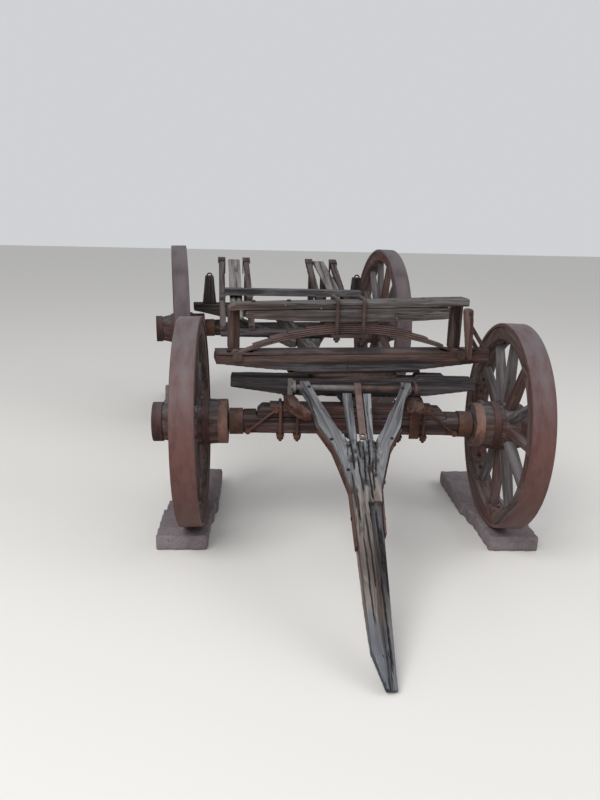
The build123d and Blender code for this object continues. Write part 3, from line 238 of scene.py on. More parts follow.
def timber(
    name, grain, tones, at=(0, 0, 0), turn=(0, 0, 0), cracks=1.0, silver=0.5, red=0.3, depth=0.004,
    others=(), weathered=False, knots=0.85,
):
    """Grain runs along X once it is turned; tones are the dark, middle and pale colours, and
    others are further tones with the share of the surface that each takes."""
    finish, shader, place, facing = new_finish(name)
    spot = along = grain(place) if grain else framed(place, at, turn)
    wave = cloud(along, (1.4, 5, 5), 2.0)
    shift = along.node("CombineXYZ", {}, {"X": 0.0, "Y": wave * 0.05, "Z": wave * 0.04})
    along = along.node("VectorMath", {"operation": "ADD"}, {0: along, 1: shift})
    rings = cloud(along, (1.6, 42, 42), 4.0, 0.6)
    fibres = cloud(along, (9, 260, 260), 3.0, 0.6)
    patches = cloud(along, (3.2, 9, 9), 5.0, 0.62)
    streak = cloud(along, (2.2, 85, 85), 2.0)
    line = between((streak - 0.5).sum("ABSOLUTE", streak - 0.5), 0.020 * cracks, 0.004)
    gate = between(cloud(along, (2.6, 16, 16), 2.0), 0.52, 0.64)
    split = line * gate
    knotty = between(cloud(along, (1.3, 3, 3), 0.0), 0.56, 0.60)
    knot = between(cells(along, (3.5, 11, 11)), 0.20, 0.07) * knotty
    reddish = between(cloud(along, (2.0, 6, 6), 4.0), 0.62 - 0.24 * red, 0.74) * min(0.75, 4 * red)
    shade = between(rings, 0.34, 0.62)
    light = between(rings * 0.5 + fibres * 0.5, 0.48, 0.66)

    def grown(dark, middle, pale):
        wood = tinted(light, tinted(shade, dark, middle), pale)
        return tinted(reddish, wood, (dark[0] * 2.0 + 0.012, dark[1] * 1.02, dark[2] * 0.88))

    colour = grown(*tones)
    for laid, share in others:
        colour = tinted(share(spot), colour, grown(*laid))
    upward = facing.part(2)
    bleached = between(upward, 0.1, 0.8) * silver + between(patches, 0.50, 0.72) * silver * 0.5
    pale = tones[2]
    greyed = tuple(0.3 * pale[k] + 0.62 * (sum(pale) / 3) * (0.99, 1.0, 1.03)[k] for k in range(3))
    colour = tinted(bleached.sum("MINIMUM", bleached, 0.9) * between(rings, 0.30, 0.62), colour, greyed)
    colour = tinted(knot * knots, colour, knot_dark)
    colour = tinted(split * 0.85, colour, crack_dark)
    height = rings * 0.55 + fibres * 0.35 - split * 1.6 - knot * (0.4 * knots)
    if weathered:
        pit = place.node("Attribute", {"attribute_name": "weather"}, {}, 2)
        rough_pit = between(pit + (fibres - 0.5) * 0.5, 0.12, 0.62)
        colour = tinted(rough_pit * 0.88, colour, rot_dark)
    relief = bumped(height, 0.9, depth)
    plug(shader, Base_Color=colour, Roughness=0.80 + fibres * 0.18, Normal=relief)
    shader.inputs["Specular IOR Level"].default_value = 0.18
    return finish


def dress(node, finish):
    """Gives a CAD piece its finish."""
    data = nodes[node].data
    data.materials.clear()
    data.materials.append(finish)


def swell(local, across, pace, cross_pace, start=0, rise=0):
    """Uneven height over a timber, drawn out along its grain; the paces are per metre."""
    return noise.noise(
        Vector((local.x * pace + start, across * cross_pace, local.z * cross_pace + rise))
    )


def worn(
    node, body, finish, grain, voxel=0.005, wear=0.0016, keep=0.5, lean=None, erode=None, top=None,
):
    """A timber's own shape with rounded edges and an uneven, weathered surface. Its grain runs
    along the X of the given frame, keep is the share of faces that stays, and top is a height
    above which it is cut off."""
    bpy.ops.object.select_all(action="DESELECT")
    piece = bpy.data.objects.new(node + "_worn", nodes[node].data.copy())
    bpy.context.collection.objects.link(piece)
    piece.select_set(True)
    bpy.context.view_layer.objects.active = piece
    bpy.ops.object.mode_set(mode="EDIT")
    bpy.ops.mesh.select_all(action="SELECT")
    bpy.ops.mesh.remove_doubles(threshold=0.00002)
    if top:
        bpy.ops.mesh.select_all(action="SELECT")
        bpy.ops.mesh.bisect(plane_co=(0, 0, top), plane_no=(0, 0, 1), use_fill=True, clear_outer=True)
    bpy.ops.object.mode_set(mode="OBJECT")
    skin = piece.modifiers.new("skin", "REMESH")
    skin.mode = "VOXEL"
    skin.voxel_size = voxel
    bpy.ops.object.modifier_apply(modifier="skin")
    soften = piece.modifiers.new("soften", "SMOOTH")
    soften.factor = 0.5
    soften.iterations = 3
    bpy.ops.object.modifier_apply(modifier="soften")
    turn_back = grain.inverted()
    straight = turn_back.to_3x3()
    inward = -(grain.to_3x3() @ Vector((0, 0, 1)))
    outward = [vertex.normal.copy() for vertex in piece.data.vertices]
    shades, places = [], []
    for vertex, normal in zip(piece.data.vertices, outward):
        local = turn_back @ vertex.co
        across = local.y - lean(local) if lean else local.y
        broad = swell(local, across, 3, 14)
        ridge = swell(local, across, 7, 70, start=5)
        gouge = max(0.0, swell(local, across, 5, 26, rise=9) - 0.35)
        spot = vertex.co - normal * (wear * (0.7 + broad + 0.5 * ridge) + 5 * wear * gouge)
        if erode:
            drop, shade = erode(local, straight @ normal)
            spot += inward * drop
            shades.append(shade)
        places.extend(spot)
    piece.data.vertices.foreach_set("co", places)
    if erode:
        piece.data.attributes.new("weather", "FLOAT", "POINT").data.foreach_set("value", shades)
    piece.data.update()
    if keep < 1:
        thin = piece.modifiers.new("thin", "DECIMATE")
        thin.ratio = keep
        bpy.ops.object.modifier_apply(modifier="thin")
    bpy.ops.object.shade_smooth_by_angle(angle=math.radians(40))
    piece.data.materials.clear()
    piece.data.materials.append(finish)
    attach(piece, body)
    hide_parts(node)


# Front axle, its bed, the hounds and the sand bolster
# Squared timbers across the front of the gear, clasped together by iron clips; they still
# carry some dark paint, browner at the top, and their ends are rounded by weather.
front_turn = Matrix.Rotation(parked_turn, 4, "Z")
across_front = Matrix.Translation(king_pin) @ front_turn
along_hounds = across_front @ Matrix.Rotation(quarter_turn, 4, "Z")
axle_timber = timber(
    "axle_timber", None, ((0.022, 0.014, 0.013), (0.056, 0.036, 0.034), (0.110, 0.080, 0.075)),
    at=king_pin, turn=(0, 0, parked_turn), silver=0.35, red=0.6,
)
sand_bolster_timber = timber(
    "sand_bolster_timber", None, ((0.017, 0.014, 0.015), (0.042, 0.034, 0.037), (0.085, 0.074, 0.078)),
    at=king_pin, turn=(0, 0, parked_turn), silver=0.35, red=0.35,
)
hound_timber = timber(
    "hound_timber", None, ((0.024, 0.013, 0.010), (0.072, 0.038, 0.028), (0.15, 0.10, 0.078)),
    at=king_pin, turn=(0, 0, parked_turn + quarter_turn), silver=0.3, red=0.8,
)
for name in ("front_axle", "front_axle_bed"):
    worn(name, "front_gear", axle_timber, across_front)
worn("sand_bolster", "front_gear", sand_bolster_timber, across_front)
worn("front_hounds", "front_gear", hound_timber, along_hounds)

# Rear axle, rear bolster and stakes
# The same timbers at the back, a little longer, with two tapered stakes for a body's sides,
# each with a worn iron ring through its head.
across_rear = Matrix.Translation(king_pin + Vector((0, wheelbase, 0)))
rear_timber = timber(
    "rear_timber", None, ((0.014, 0.011, 0.010), (0.036, 0.029, 0.027), (0.090, 0.079, 0.075)),
    at=across_rear.translation, silver=0.35, red=0.3,
)
stake_timber = timber(
    "stake_timber", None, ((0.016, 0.012, 0.013), (0.038, 0.028, 0.029), (0.075, 0.060, 0.060)),
    at=across_rear.translation, turn=(0, quarter_turn, 0), silver=0.25, red=0.3,
)
worn("rear_axle", "root", rear_timber, across_rear, voxel=0.007)
worn("rear_bolster", "root", rear_timber, across_rear, voxel=0.006)
ring_reach = 0.022  # of a ring above its stake's head
stake_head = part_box("rear_stakes")[1][2] - ring_reach
worn(
    "rear_stakes", "root", stake_timber, across_rear @ Matrix.Rotation(quarter_turn, 4, "Y"),
    voxel=0.0045, top=stake_head,
)

# Reach pole and rear hounds
# A long pole from bolster to bolster and two timbers spreading to the rear axle.
along_reach = Matrix.Translation(king_pin) @ Matrix.Rotation(quarter_turn, 4, "Z")
reach_timber = timber(
    "reach_timber", None, ((0.018, 0.014, 0.013), (0.050, 0.040, 0.037), (0.12, 0.105, 0.098)),
    at=king_pin, turn=(0, 0, quarter_turn), silver=0.5, red=0.2,
)
worn("reach", "root", reach_timber, along_reach, voxel=0.006)
worn("rear_hounds", "root", reach_timber, along_reach, voxel=0.007)


# Spring beam
# A heavy tapered timber on the upper rub plate. Its upper half and its ends are red-brown
# where paint has lasted, and its lower half has gone blue-grey below a long crack.
crack_half_length, crack_half_width = 0.44, 0.0032
check_x, check_half_width, check_tilt = -0.042, 0.004, 0.02  # the short crack
check_below, check_above = 0.034, 0.012                      # its ends, from the long one


def below_crack(along):
    """The blue-grey part of the beam's face, below the crack and between the ends."""
    x, z = along.part(0), along.part(2)
    wander = cloud(along, (5, 20, 20), 3.0)
    under = between(z + (wander - 0.5) * 0.03, beam_crack + 0.004, beam_crack - 0.004)
    return under * between(x.sum("ABSOLUTE", x) + (wander - 0.5) * 0.1, 0.42, 0.32)


beam_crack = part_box("spring_beam")[1][2] - 0.036
beam_timber = timber(
    "beam_timber", None, ((0.026, 0.016, 0.014), (0.060, 0.037, 0.032), (0.100, 0.070, 0.062)),
    at=king_pin, silver=0.35, red=0.55, weathered=True,
    others=((((0.014, 0.012, 0.013), (0.037, 0.033, 0.036), (0.080, 0.074, 0.078)), below_crack),),
)


def beam_wear(local, normal):
    """The long crack on the front face, and a short one standing across it."""
    if normal.y > -0.4:
        return 0.0, 0.0
    drift = 0.004 * noise.noise(Vector((local.x * 9, 3, 0)))
    off = abs(local.z - beam_crack - drift)
    line = max(0.0, 1 - off / crack_half_width) if abs(local.x) < crack_half_length else 0.0
    beside = abs(local.x - check_x - check_tilt * (local.z - beam_crack))
    check = max(0.0, 1 - beside / check_half_width)
    if not beam_crack - check_below < local.z < beam_crack + check_above:
        check = 0.0
    return 0.0, min(1.0, 0.9 * line + check)


across = Matrix.Translation(king_pin)
worn("spring_beam", "root", beam_timber, across, voxel=0.0045, keep=1, erode=beam_wear)

# Upper bolster
# Two grey planks, one on the other, over the spring, with short posts under their ends and a
# pale stake leaning beside the left-hand one.
plank_timber = timber(
    "plank_timber", None, ((0.034, 0.028, 0.026), (0.080, 0.067, 0.064), (0.145, 0.128, 0.124)),
    at=king_pin, silver=0.5, red=0.35, others=((
        ((0.034, 0.023, 0.019), (0.095, 0.064, 0.054), (0.16, 0.126, 0.112)),
        lambda along: between(along.part(0), -0.20, -0.52),
    ),),
)
post_timber = timber(
    "post_timber", None, ((0.024, 0.015, 0.013), (0.065, 0.040, 0.035), (0.125, 0.092, 0.083)),
    at=king_pin, turn=(0, quarter_turn, 0), silver=0.3, red=0.5,
)
guard_timber = timber(
    "guard_timber", None, ((0.036, 0.023, 0.021), (0.095, 0.064, 0.058), (0.18, 0.142, 0.13)),
    at=king_pin, turn=(0, quarter_turn, 0), silver=0.4, red=0.4,
)
upright = across @ Matrix.Rotation(quarter_turn, 4, "Y")
worn("lower_bolster_plank", "root", plank_timber, across)
worn("upper_bolster_plank", "root", plank_timber, across)
worn("bolster_posts", "root", post_timber, upright)
worn("guard_post", "root", guard_timber, upright, voxel=0.004)

# Skids
# Four rails climbing over the rear bolster, held by a beam on wedges, with two grey boards
# between them, one of them loose. The rails have swung a little out of square.
skid_foot = king_pin + Vector((skid_shift, wheelbase, 0))
skid_place = Matrix.Translation(skid_foot) @ Matrix.Rotation(skid_turn, 4, "Z")
skid_slope = Matrix.Rotation(-math.atan(skid_rise), 4, "Y")
up_skids = skid_place @ Matrix.Rotation(quarter_turn, 4, "Z") @ skid_slope
skid_timber = timber(
    "skid_timber", None, ((0.026, 0.017, 0.014), (0.066, 0.045, 0.038), (0.13, 0.105, 0.094)),
    at=up_skids.translation, turn=up_skids.to_euler(), silver=0.5, red=0.5,
)
cross_timber = timber(
    "cross_timber", None, ((0.024, 0.020, 0.021), (0.066, 0.059, 0.062), (0.135, 0.13, 0.138)),
    at=skid_place.translation, turn=skid_place.to_euler(), silver=0.55, red=0.4,
)
bar_timber = timber(
    "bar_timber", None, ((0.012, 0.009, 0.010), (0.034, 0.025, 0.027), (0.085, 0.074, 0.080)),
    at=skid_place.translation, turn=skid_place.to_euler(), silver=0.6, red=0.4,
)
board_timber = timber(
    "board_timber", None, ((0.040, 0.034, 0.032), (0.135, 0.115, 0.102), (0.26, 0.235, 0.215)),
    at=up_skids.translation, turn=up_skids.to_euler(), silver=0.6, red=0.3,
)
worn("skids", "root", skid_timber, up_skids)
skid_upright = skid_place @ Matrix.Rotation(quarter_turn, 4, "Y")
worn("skid_posts", "root", stake_timber, skid_upright, voxel=0.006)
worn("cross_bar", "root", bar_timber, skid_place)
worn("skid_beam", "root", cross_timber, skid_place)
worn("skid_boards", "root", board_timber, up_skids, voxel=0.004)

# Tongue
# A forked pole hanging from its pin to the ground. Its timber is silver-grey, deeply cracked
# and knotted, one half of the pole has lost its top, and the tip has rotted to a point.
pin_place = Vector(joints["tongue_lift"]["pos_m"])
down_tongue = (
    Matrix.Translation(pin_place)
    @ front_turn
    @ Matrix.Rotation(tongue_slope, 4, "X")
    @ Matrix.Rotation(-quarter_turn, 4, "Z")
)
arm_swing, arm_closing, crotch_closing = 0.223, 0.40, 0.13  # of the arms' middle lines
crotch, crotch_length = 0.33, 0.25
break_place, seam_tilt = 0.604, 0.045                       # of the pole's broken half
# Cracks as (start, end, place across at the start, at the end, half width, depth) in metres
# from the pin, and knots as (place along, place across, radius).
tongue_cracks = (
    (0.300, 0.462, -0.047, -0.040, 0.0050, 0.016), (0.300, 0.400, -0.014, -0.012, 0.0060, 0.018),
    (0.305, 0.530, 0.006, 0.002, 0.0060, 0.022), (0.300, 0.440, 0.029, 0.021, 0.0055, 0.018),
    (0.300, 0.480, 0.055, 0.045, 0.0045, 0.013), (0.430, 0.605, 0.017, 0.021, 0.0050, 0.014),
    (0.380, 0.570, -0.025, -0.012, 0.0045, 0.012), (0.395, 0.560, 0.036, 0.030, 0.0045, 0.012),
    (0.560, 0.700, -0.040, -0.036, 0.0036, 0.007), (0.640, 0.980, -0.014, -0.002, 0.0036, 0.008),
    (0.740, 1.120, -0.030, -0.018, 0.0034, 0.007), (0.620, 0.900, 0.030, 0.034, 0.0045, 0.010),
    (0.900, 1.270, 0.021, 0.026, 0.0042, 0.011), (0.470, 0.640, -0.052, -0.046, 0.0036, 0.007),
    (0.700, 1.000, 0.040, 0.044, 0.0036, 0.008),
)
tongue_knots = (
    (0.332, -0.054, 0.012), (0.409, -0.043, 0.020), (0.323, -0.015, 0.013), (0.445, 0.023, 0.022),
    (0.412, 0.050, 0.015), (0.514, 0.000, 0.017), (0.556, -0.048, 0.018), (0.372, 0.012, 0.014),
    (0.365, -0.030, 0.012), (0.480, 0.040, 0.012), (0.398, -0.002, 0.011),
)


def arm_lean(local):
    """How far the grain has swung out from the middle line at a place along an arm."""
    past = min(max(local.x - crotch, 0.0), crotch_length)
    swing = arm_swing - arm_closing * min(local.x, crotch) - crotch_closing * past
    hold = min(max((abs(local.y) - 0.02) / 0.06, 0.0), 1.0)
    return math.copysign(swing * hold, local.y)


def tongue_wear(local, normal):
    """Cracks, knots, the ragged crotch and the broken half, all in the tongue's upper face."""
    u, y = local.x, local.y
    if normal.z < -0.2 or local.z < 0:
        return 0.0, 0.0
    drift = 0.003 * noise.noise(Vector((u * 14, y * 4, 1.0)))
    drop = shade = 0.0
    for start, end, first, last, half, deep in tongue_cracks:
        if start < u < end:
            share = (u - start) / (end - start)
            middle = first + (last - first) * share + drift
            rent = 0.7 + 0.8 * abs(noise.noise(Vector((u * 8, first * 90, 5))))
            taper = min(1.0, 6 * share + 0.25, 6 * (1 - share) + 0.1)
            near = taper * max(0.0, 1 - abs(y - middle) / max(0.0044, rent * half))
            drop = max(drop, deep * near)
            shade = max(shade, min(0.72, 1.2 * near))
    for along, beside, radius in tongue_knots:
        ripple = 1 + 0.5 * noise.noise(Vector((u * 70, y * 110, along * 50)))
        off = math.hypot((u - along) * 0.75, y - beside) / (radius * ripple)
        if off < 1:
            drop = max(drop, 0.007 * (1 - off * off))
            shade = max(shade, 0.74 - 0.5 * off)
    if 0.29 < u < 0.43 and abs(y) < 0.064:
        strip = 0.55 + 0.45 * math.sin(abs(y + 0.004) * 120 + 0.8)
        strip = strip + noise.noise(Vector((y * 160, u * 9, 2)))
        drop = max(drop, 0.019 * strip * max(0.0, 1 - (u - 0.296) / (0.07 + 0.05 * strip)))
        shade = max(shade, 0.28 * strip)
    ragged = break_place + 0.022 * noise.noise(Vector((y * 170, 4, 0)))
    boundary = 0.001 + seam_tilt * (u - break_place)
    if u > ragged and y > boundary:
        if y < 0.009 and u < 0.78:
            drop = max(drop, 0.018)
        shade = max(shade, 0.26 + 0.30 * max(0.0, noise.noise(Vector((u * 9, y * 120, 7)))))
    return min(drop, 0.026), min(shade, 1.0)


def tongue_grain(place):
    """Grain that follows the arms out from the crotch."""
    local = framed(place, pin_place, down_tongue.to_euler())
    u, y, z = (local.part(k) for k in range(3))
    past = u.node("Clamp", {}, {0: u - crotch, 1: 0.0, 2: crotch_length})
    swing = arm_swing - u.sum("MINIMUM", u, crotch) * arm_closing - past * crotch_closing
    hold = between(y.sum("ABSOLUTE", y), 0.02, 0.08)
    return local.node("CombineXYZ", {}, {"X": u, "Y": y - swing * hold * y.sum("SIGN", y), "Z": z})


def lower_pole(along):
    """The pole below the crotch, which the arms' blue-grey weathering has not reached."""
    u = along.part(0)
    wander = cloud(along, (3, 110, 110), 4.0, 0.65)
    return between(u + (wander - 0.5) * 0.8, 0.44, 0.60)


def broken_half(along):
    """The dark left half of the pole, past the break."""
    u, y = (along.part(k) for k in range(2))
    wander = cloud(along, (7, 40, 40), 3.0)
    side = y - (u - break_place) * seam_tilt + (wander - 0.5) * 0.014
    return between(side, 0.000, 0.010) * between(u + (wander - 0.5) * 0.03, 0.598, 0.612)


def rotted_tip(along):
    """The blue-grey end of the pole, that lies on the ground."""
    u = along.part(0)
    wander = cloud(along, (3, 110, 110), 4.0, 0.65)
    return between(u + (wander - 0.5) * 0.9, 1.02, 1.20)


tongue_timber = timber(
    "tongue_timber", tongue_grain,
    ((0.042, 0.042, 0.046), (0.112, 0.114, 0.122), (0.235, 0.232, 0.235)),
    silver=0.3, red=0.0, cracks=0.8, depth=0.006, weathered=True, others=(
        (((0.062, 0.047, 0.040), (0.155, 0.120, 0.103), (0.27, 0.225, 0.195)), lower_pole),
        (((0.020, 0.018, 0.019), (0.055, 0.050, 0.053), (0.115, 0.106, 0.108)), broken_half),
        (((0.034, 0.037, 0.044), (0.070, 0.077, 0.090), (0.135, 0.143, 0.160)), rotted_tip),
    ),
)
fork_board_timber = timber(
    "fork_board_timber", None, ((0.045, 0.045, 0.049), (0.130, 0.134, 0.143), (0.25, 0.255, 0.262)),
    at=pin_place, turn=down_tongue.to_euler(), silver=0.3, red=0.0, cracks=1.1, depth=0.006,
)
worn(
    "tongue", "tongue", tongue_timber, down_tongue, voxel=0.0038, wear=0.0018, keep=1,
    lean=arm_lean, erode=tongue_wear,
)
worn("tongue_boards", "tongue", fork_board_timber, down_tongue, voxel=0.0035, wear=0.0016, keep=0.6)


# Wheels
# Spokes driven into a hub and into the felloes; bare and grey-brown now, with dark cracks
# and traces of red paint near the tyre.
def make_wheel_place(joint):
    """The wheel's own place: X to the rear, Z along its axle towards the wagon's left."""
    axle = Vector(joint["axis"]).normalized()
    axle = -axle if axle.x < 0 else axle
    rearward = Vector((0, 0, 1)).cross(axle).normalized()
    rise = axle.cross(rearward)
    turned = Matrix((rearward, rise, axle)).transposed().to_4x4()
    return Matrix.Translation(Vector(joint["pos_m"])) @ turned


def wheel_grain(place, wheel, count, part):
    """Straight grain in each spoke or felloe, out along the radius or along its chord."""
    local = framed(place, wheel.translation, wheel.to_euler())
    x, y, z = (local.part(k) for k in range(3))
    if part == "hub":
        return local.node("CombineXYZ", {}, {"X": z, "Y": x, "Z": y})
    angle = x.sum("ARCTAN2", y, x)
    step = 2 * math.pi / count
    if part == "spokes":
        index = x.sum("ROUND", angle * (1 / step))
    else:
        index = x.sum("FLOOR", angle * (1 / step) - 0.25) + 0.75
    middle = index * step
    cosine, sine = x.sum("COSINE", middle), x.sum("SINE", middle)
    out = x * cosine + y * sine
    chord = y * cosine - x * sine
    if part == "spokes":
        return local.node("CombineXYZ", {}, {"X": out + index * 3.7, "Y": chord + index * 0.61, "Z": z})
    return local.node("CombineXYZ", {}, {"X": chord + index * 3.1, "Y": out + index * 0.47, "Z": z})


spoke_counts = {"front": 12, "rear": 14}
spoke_tones = ((0.055, 0.045, 0.045), (0.098, 0.084, 0.085), (0.165, 0.152, 0.155))
felloe_tones = ((0.054, 0.036, 0.031), (0.094, 0.065, 0.057), (0.145, 0.110, 0.100))
painted_tones = ((0.044, 0.026, 0.022), (0.078, 0.047, 0.041), (0.125, 0.088, 0.078))
hub_tones = ((0.036, 0.030, 0.030), (0.074, 0.063, 0.063), (0.130, 0.118, 0.118))


def one_by_one(along):
    """Some spokes and felloes have kept more of their red-brown paint than others."""
    return between(cloud(along, (0.9, 1.2, 1.2), 1.0), 0.47, 0.57)


wheel_places = {}
for end, spoke_count in spoke_counts.items():
    for side in ("left", "right"):
        wheel = make_wheel_place(joints[f"{end}_{side}_wheel_turn"])
        wheel_places[end, side] = wheel
        # each with its tones, the number of pieces in the ring, and its share of red
        for part, tones, count, red in (
            ("spokes", spoke_tones, spoke_count, 0.3),
            ("felloes", felloe_tones, spoke_count // 2, 0.7),
            ("hub", hub_tones, 1, 0.2),
        ):
            wood = timber(
                f"{end}_{side}_{part}_timber",
                lambda place: wheel_grain(place, wheel, count, part), tones,
                cracks=0.5, silver=0.35, red=red, depth=0.0025, knots=0.0,
                others=((painted_tones, one_by_one),),
            )
            dress(f"{end}_{side}_{part}", wood)


# Tyres and hub bands
# Iron hoops shrunk on hot: the tyres are rubbed smooth and dull red-brown, with a painted purple-grey
# sheen on top standing in for the sky's reflection; each hub has a thin dark waist band and a wide end
# band that has gone pinkish.
# A purplish grey laid on upward faces: dust on most irons, and on the tyres a painted sheen standing in
# for the sky's reflection.
dust_and_sheen_colour = (0.118, 0.098, 0.104)
groove_dark = (0.008, 0.006, 0.006)


def rusted(
    name, tones, at=(0, 0, 0), turn=(0, 0, 0), draw=(1, 1, 1), smooth=0.0, depth=0.0015, dust_and_sheen=0.4,
    other=None, share=None, groove=None,
):
    """Rust in dark, middle and bright tones, drawn out along a rolled or rubbed direction."""
    finish, shader, place, facing = new_finish(name)
    local = framed(place, at, turn)
    broad = cloud(local, tuple(5 * k for k in draw), 4.0, 0.6)
    blotch = cloud(local, tuple(26 * k for k in draw), 4.0, 0.65)
    grit = cloud(local, tuple(240 * k for k in draw), 3.0, 0.6)
    pits = between(cells(local, (95, 95, 95)), 0.32, 0.10) * between(blotch, 0.48, 0.62)
    calm = 1 - 0.55 * smooth

    def corroded(dark, middle, bright):
        iron = tinted(between(broad * 0.6 + blotch * 0.4, 0.36, 0.64), dark, middle)
        return tinted(between(blotch * 0.6 + grit * 0.4, 0.54, 0.72) * 0.8 * calm, iron, bright)

    colour = corroded(*tones)
    if other:
        colour = tinted(share(local), colour, corroded(*other))
    # Upward faces take the purplish grey in broad patches. On most irons it is dust; on the tyres,
    # where its share is above 1, it is a painted sheen of the sky.
    upward = facing.part(2)
    dust_and_sheen_patches = between(broad, 0.34 - 0.20 * smooth, 0.60 + 0.12 * smooth)
    dust_and_sheen_share = between(upward, 0.2 - 0.2 * smooth, 1.0) * dust_and_sheen_patches
    dust_and_sheen_share = dust_and_sheen_share.sum("MINIMUM", dust_and_sheen_share * dust_and_sheen, 1.0)
    colour = tinted(dust_and_sheen_share, colour, dust_and_sheen_colour)
    colour = tinted(pits * 0.7 * calm, colour, tuple(0.45 * k for k in tones[0]))
    height = blotch * 0.5 + grit * 0.35 - pits * 0.7
    if groove:
        line = groove(place, facing)
        colour = tinted(line * 0.92, colour, groove_dark)
        height = height - line * 1.5
    plug(
        shader, Base_Color=colour, Roughness=0.82 - 0.30 * smooth + (blotch - 0.5) * 0.25,
        Metallic=between(grit, 0.44, 0.66) * (0.12 + 0.18 * smooth),
        Normal=bumped(height, 0.8 - 0.45 * smooth, depth),
    )
    shader.inputs["Specular IOR Level"].default_value = 0.28
    return finish


tyre_tones = {
    "front": ((0.078, 0.034, 0.030), (0.116, 0.053, 0.046), (0.150, 0.070, 0.054)),
    "rear": ((0.056, 0.038, 0.042), (0.082, 0.058, 0.064), (0.115, 0.082, 0.086)),
}
waist_tones = ((0.026, 0.013, 0.012), (0.070, 0.030, 0.025), (0.15, 0.062, 0.040))
end_band_tones = ((0.080, 0.040, 0.030), (0.215, 0.120, 0.090), (0.34, 0.195, 0.135))
for (end, side), wheel in wheel_places.items():
    outboard = 1 if side == "left" else -1
    # The tyres' large share of the purplish grey on top is a painted sheen, standing in for the sky's
    # reflection on the smooth tread.
    tyre_iron = rusted(
        f"{end}_{side}_tyre_iron", tyre_tones[end], at=wheel.translation, turn=wheel.to_euler(),
        draw=(1, 1, 3), smooth=0.9, depth=0.0006, dust_and_sheen=1.2,
    )
    band_iron = rusted(
        f"{end}_{side}_band_iron", waist_tones, at=wheel.translation, turn=wheel.to_euler(),
        draw=(1, 1, 3), smooth=0.2, other=end_band_tones,
        share=lambda local: between(local.part(2) * outboard, -0.095, -0.115),
    )
    dress(f"{end}_{side}_tyre", tyre_iron)
    dress(f"{end}_{side}_hub_bands", band_iron)


# Fastenings
# Blacksmith's nuts on round washers, domed bolt heads and clout nails; each kind is shaped
# once, standing on a surface, and copied to its places.
def cut_bevel(obj, width):
    """Takes the sharp arris off every edge of a forged piece."""
    bpy.context.view_layer.objects.active = obj
    bpy.ops.object.mode_set(mode="EDIT")
    bpy.ops.mesh.select_all(action="SELECT")
    bpy.ops.mesh.bevel(offset=width, segments=1, affect="EDGES")
    bpy.ops.object.mode_set(mode="OBJECT")


def forged(*lumps):
    """One fastening from stacked lumps of (sides, radius, foot, height), each with its edges eased."""
    made = []
    for sides, radius, foot, height in lumps:
        bpy.ops.object.select_all(action="DESELECT")
        bpy.ops.mesh.primitive_cylinder_add(
            vertices=sides, radius=radius, depth=height, location=(0, 0, foot + height / 2)
        )
        lump = bpy.context.object
        bpy.ops.object.transform_apply(location=True, rotation=True, scale=True)
        cut_bevel(lump, min(0.12 * radius, 0.3 * height))
        made.append(lump)
    bpy.ops.object.select_all(action="DESELECT")
    for lump in made:
        lump.select_set(True)
    bpy.context.view_layer.objects.active = made[0]
    bpy.ops.object.join()
    return bpy.context.object


def fasten(name, pattern, spots, body, finish, seed=1):
    """Copies a fastening to places given as (point, outward direction, size)."""
    chance = random.Random(seed)
    copies = []
    for point, outward, size in spots:
        copy = bpy.data.objects.new(name, pattern.data.copy())
        bpy.context.collection.objects.link(copy)
        stand = Vector(outward).to_track_quat("Z", "Y").to_matrix().to_4x4()
        spin = Matrix.Rotation(chance.uniform(0, 2 * math.pi), 4, "Z")
        lean = Matrix.Rotation(chance.uniform(-0.04, 0.04), 4, "X")
        copy.data.transform(Matrix.Translation(point) @ stand @ lean @ spin @ Matrix.Scale(size, 4))
        copies.append(copy)
    bpy.ops.object.select_all(action="DESELECT")
    for copy in copies:
        copy.select_set(True)
    bpy.context.view_layer.objects.active = copies[0]
    bpy.ops.object.join()
    piece = bpy.context.object
    piece.name = name
    bpy.ops.object.shade_smooth_by_angle(angle=math.radians(35))
    piece.data.materials.clear()
    piece.data.materials.append(finish)
    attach(piece, body)
    return piece


nut = forged((18, 1.00, -0.10, 0.30), (4, 0.92, 0.18, 0.62), (10, 0.40, 0.70, 0.40))
domed_head = forged((16, 1.00, -0.20, 0.42), (16, 0.78, 0.16, 0.24), (12, 0.48, 0.34, 0.14))
clout = forged((9, 1.00, -0.30, 0.62), (7, 0.62, 0.22, 0.22))
bolt_rust = rusted("bolt_rust", ((0.020, 0.011, 0.009), (0.062, 0.028, 0.021), (0.16, 0.065, 0.038)))
black_iron = rusted(
    "black_iron", ((0.006, 0.005, 0.005), (0.014, 0.011, 0.011), (0.035, 0.024, 0.020)), dust_and_sheen=0.1
)
# Tyre bolts come through the felloes either side of each joint between them.
felloe_inner = {"front": 0.391, "rear": 0.487}  # radius of the felloes' inner face
nut_spread = 0.085                              # from a joint, in radians
for (end, side), wheel in wheel_places.items():
    joint_count = spoke_counts[end] // 2
    spots = []
    for k in range(joint_count):
        joint_angle = 2 * math.pi / joint_count * (k + 0.25)
        for offset in (-nut_spread, nut_spread):
            radial = Vector((math.cos(joint_angle + offset), math.sin(joint_angle + offset), 0))
            seat = wheel @ (radial * felloe_inner[end])
            spots.append((seat, -(wheel.to_3x3() @ radial), 0.010))
    fasten(
        f"{end}_{side}_tyre_nuts", nut, spots, f"{end}_{side}_wheel", bolt_rust,
        seed=len(end) + len(side),
    )

# Axle arms
# Forged arms with round collars against the hubs, still bright with fresh rust.
arm_iron = rusted(
    "arm_iron", ((0.028, 0.015, 0.012), (0.100, 0.043, 0.028), (0.21, 0.088, 0.046)), smooth=0.3
)
for name in ("front_axle_arms", "rear_axle_arms"):
    dress(name, arm_iron)

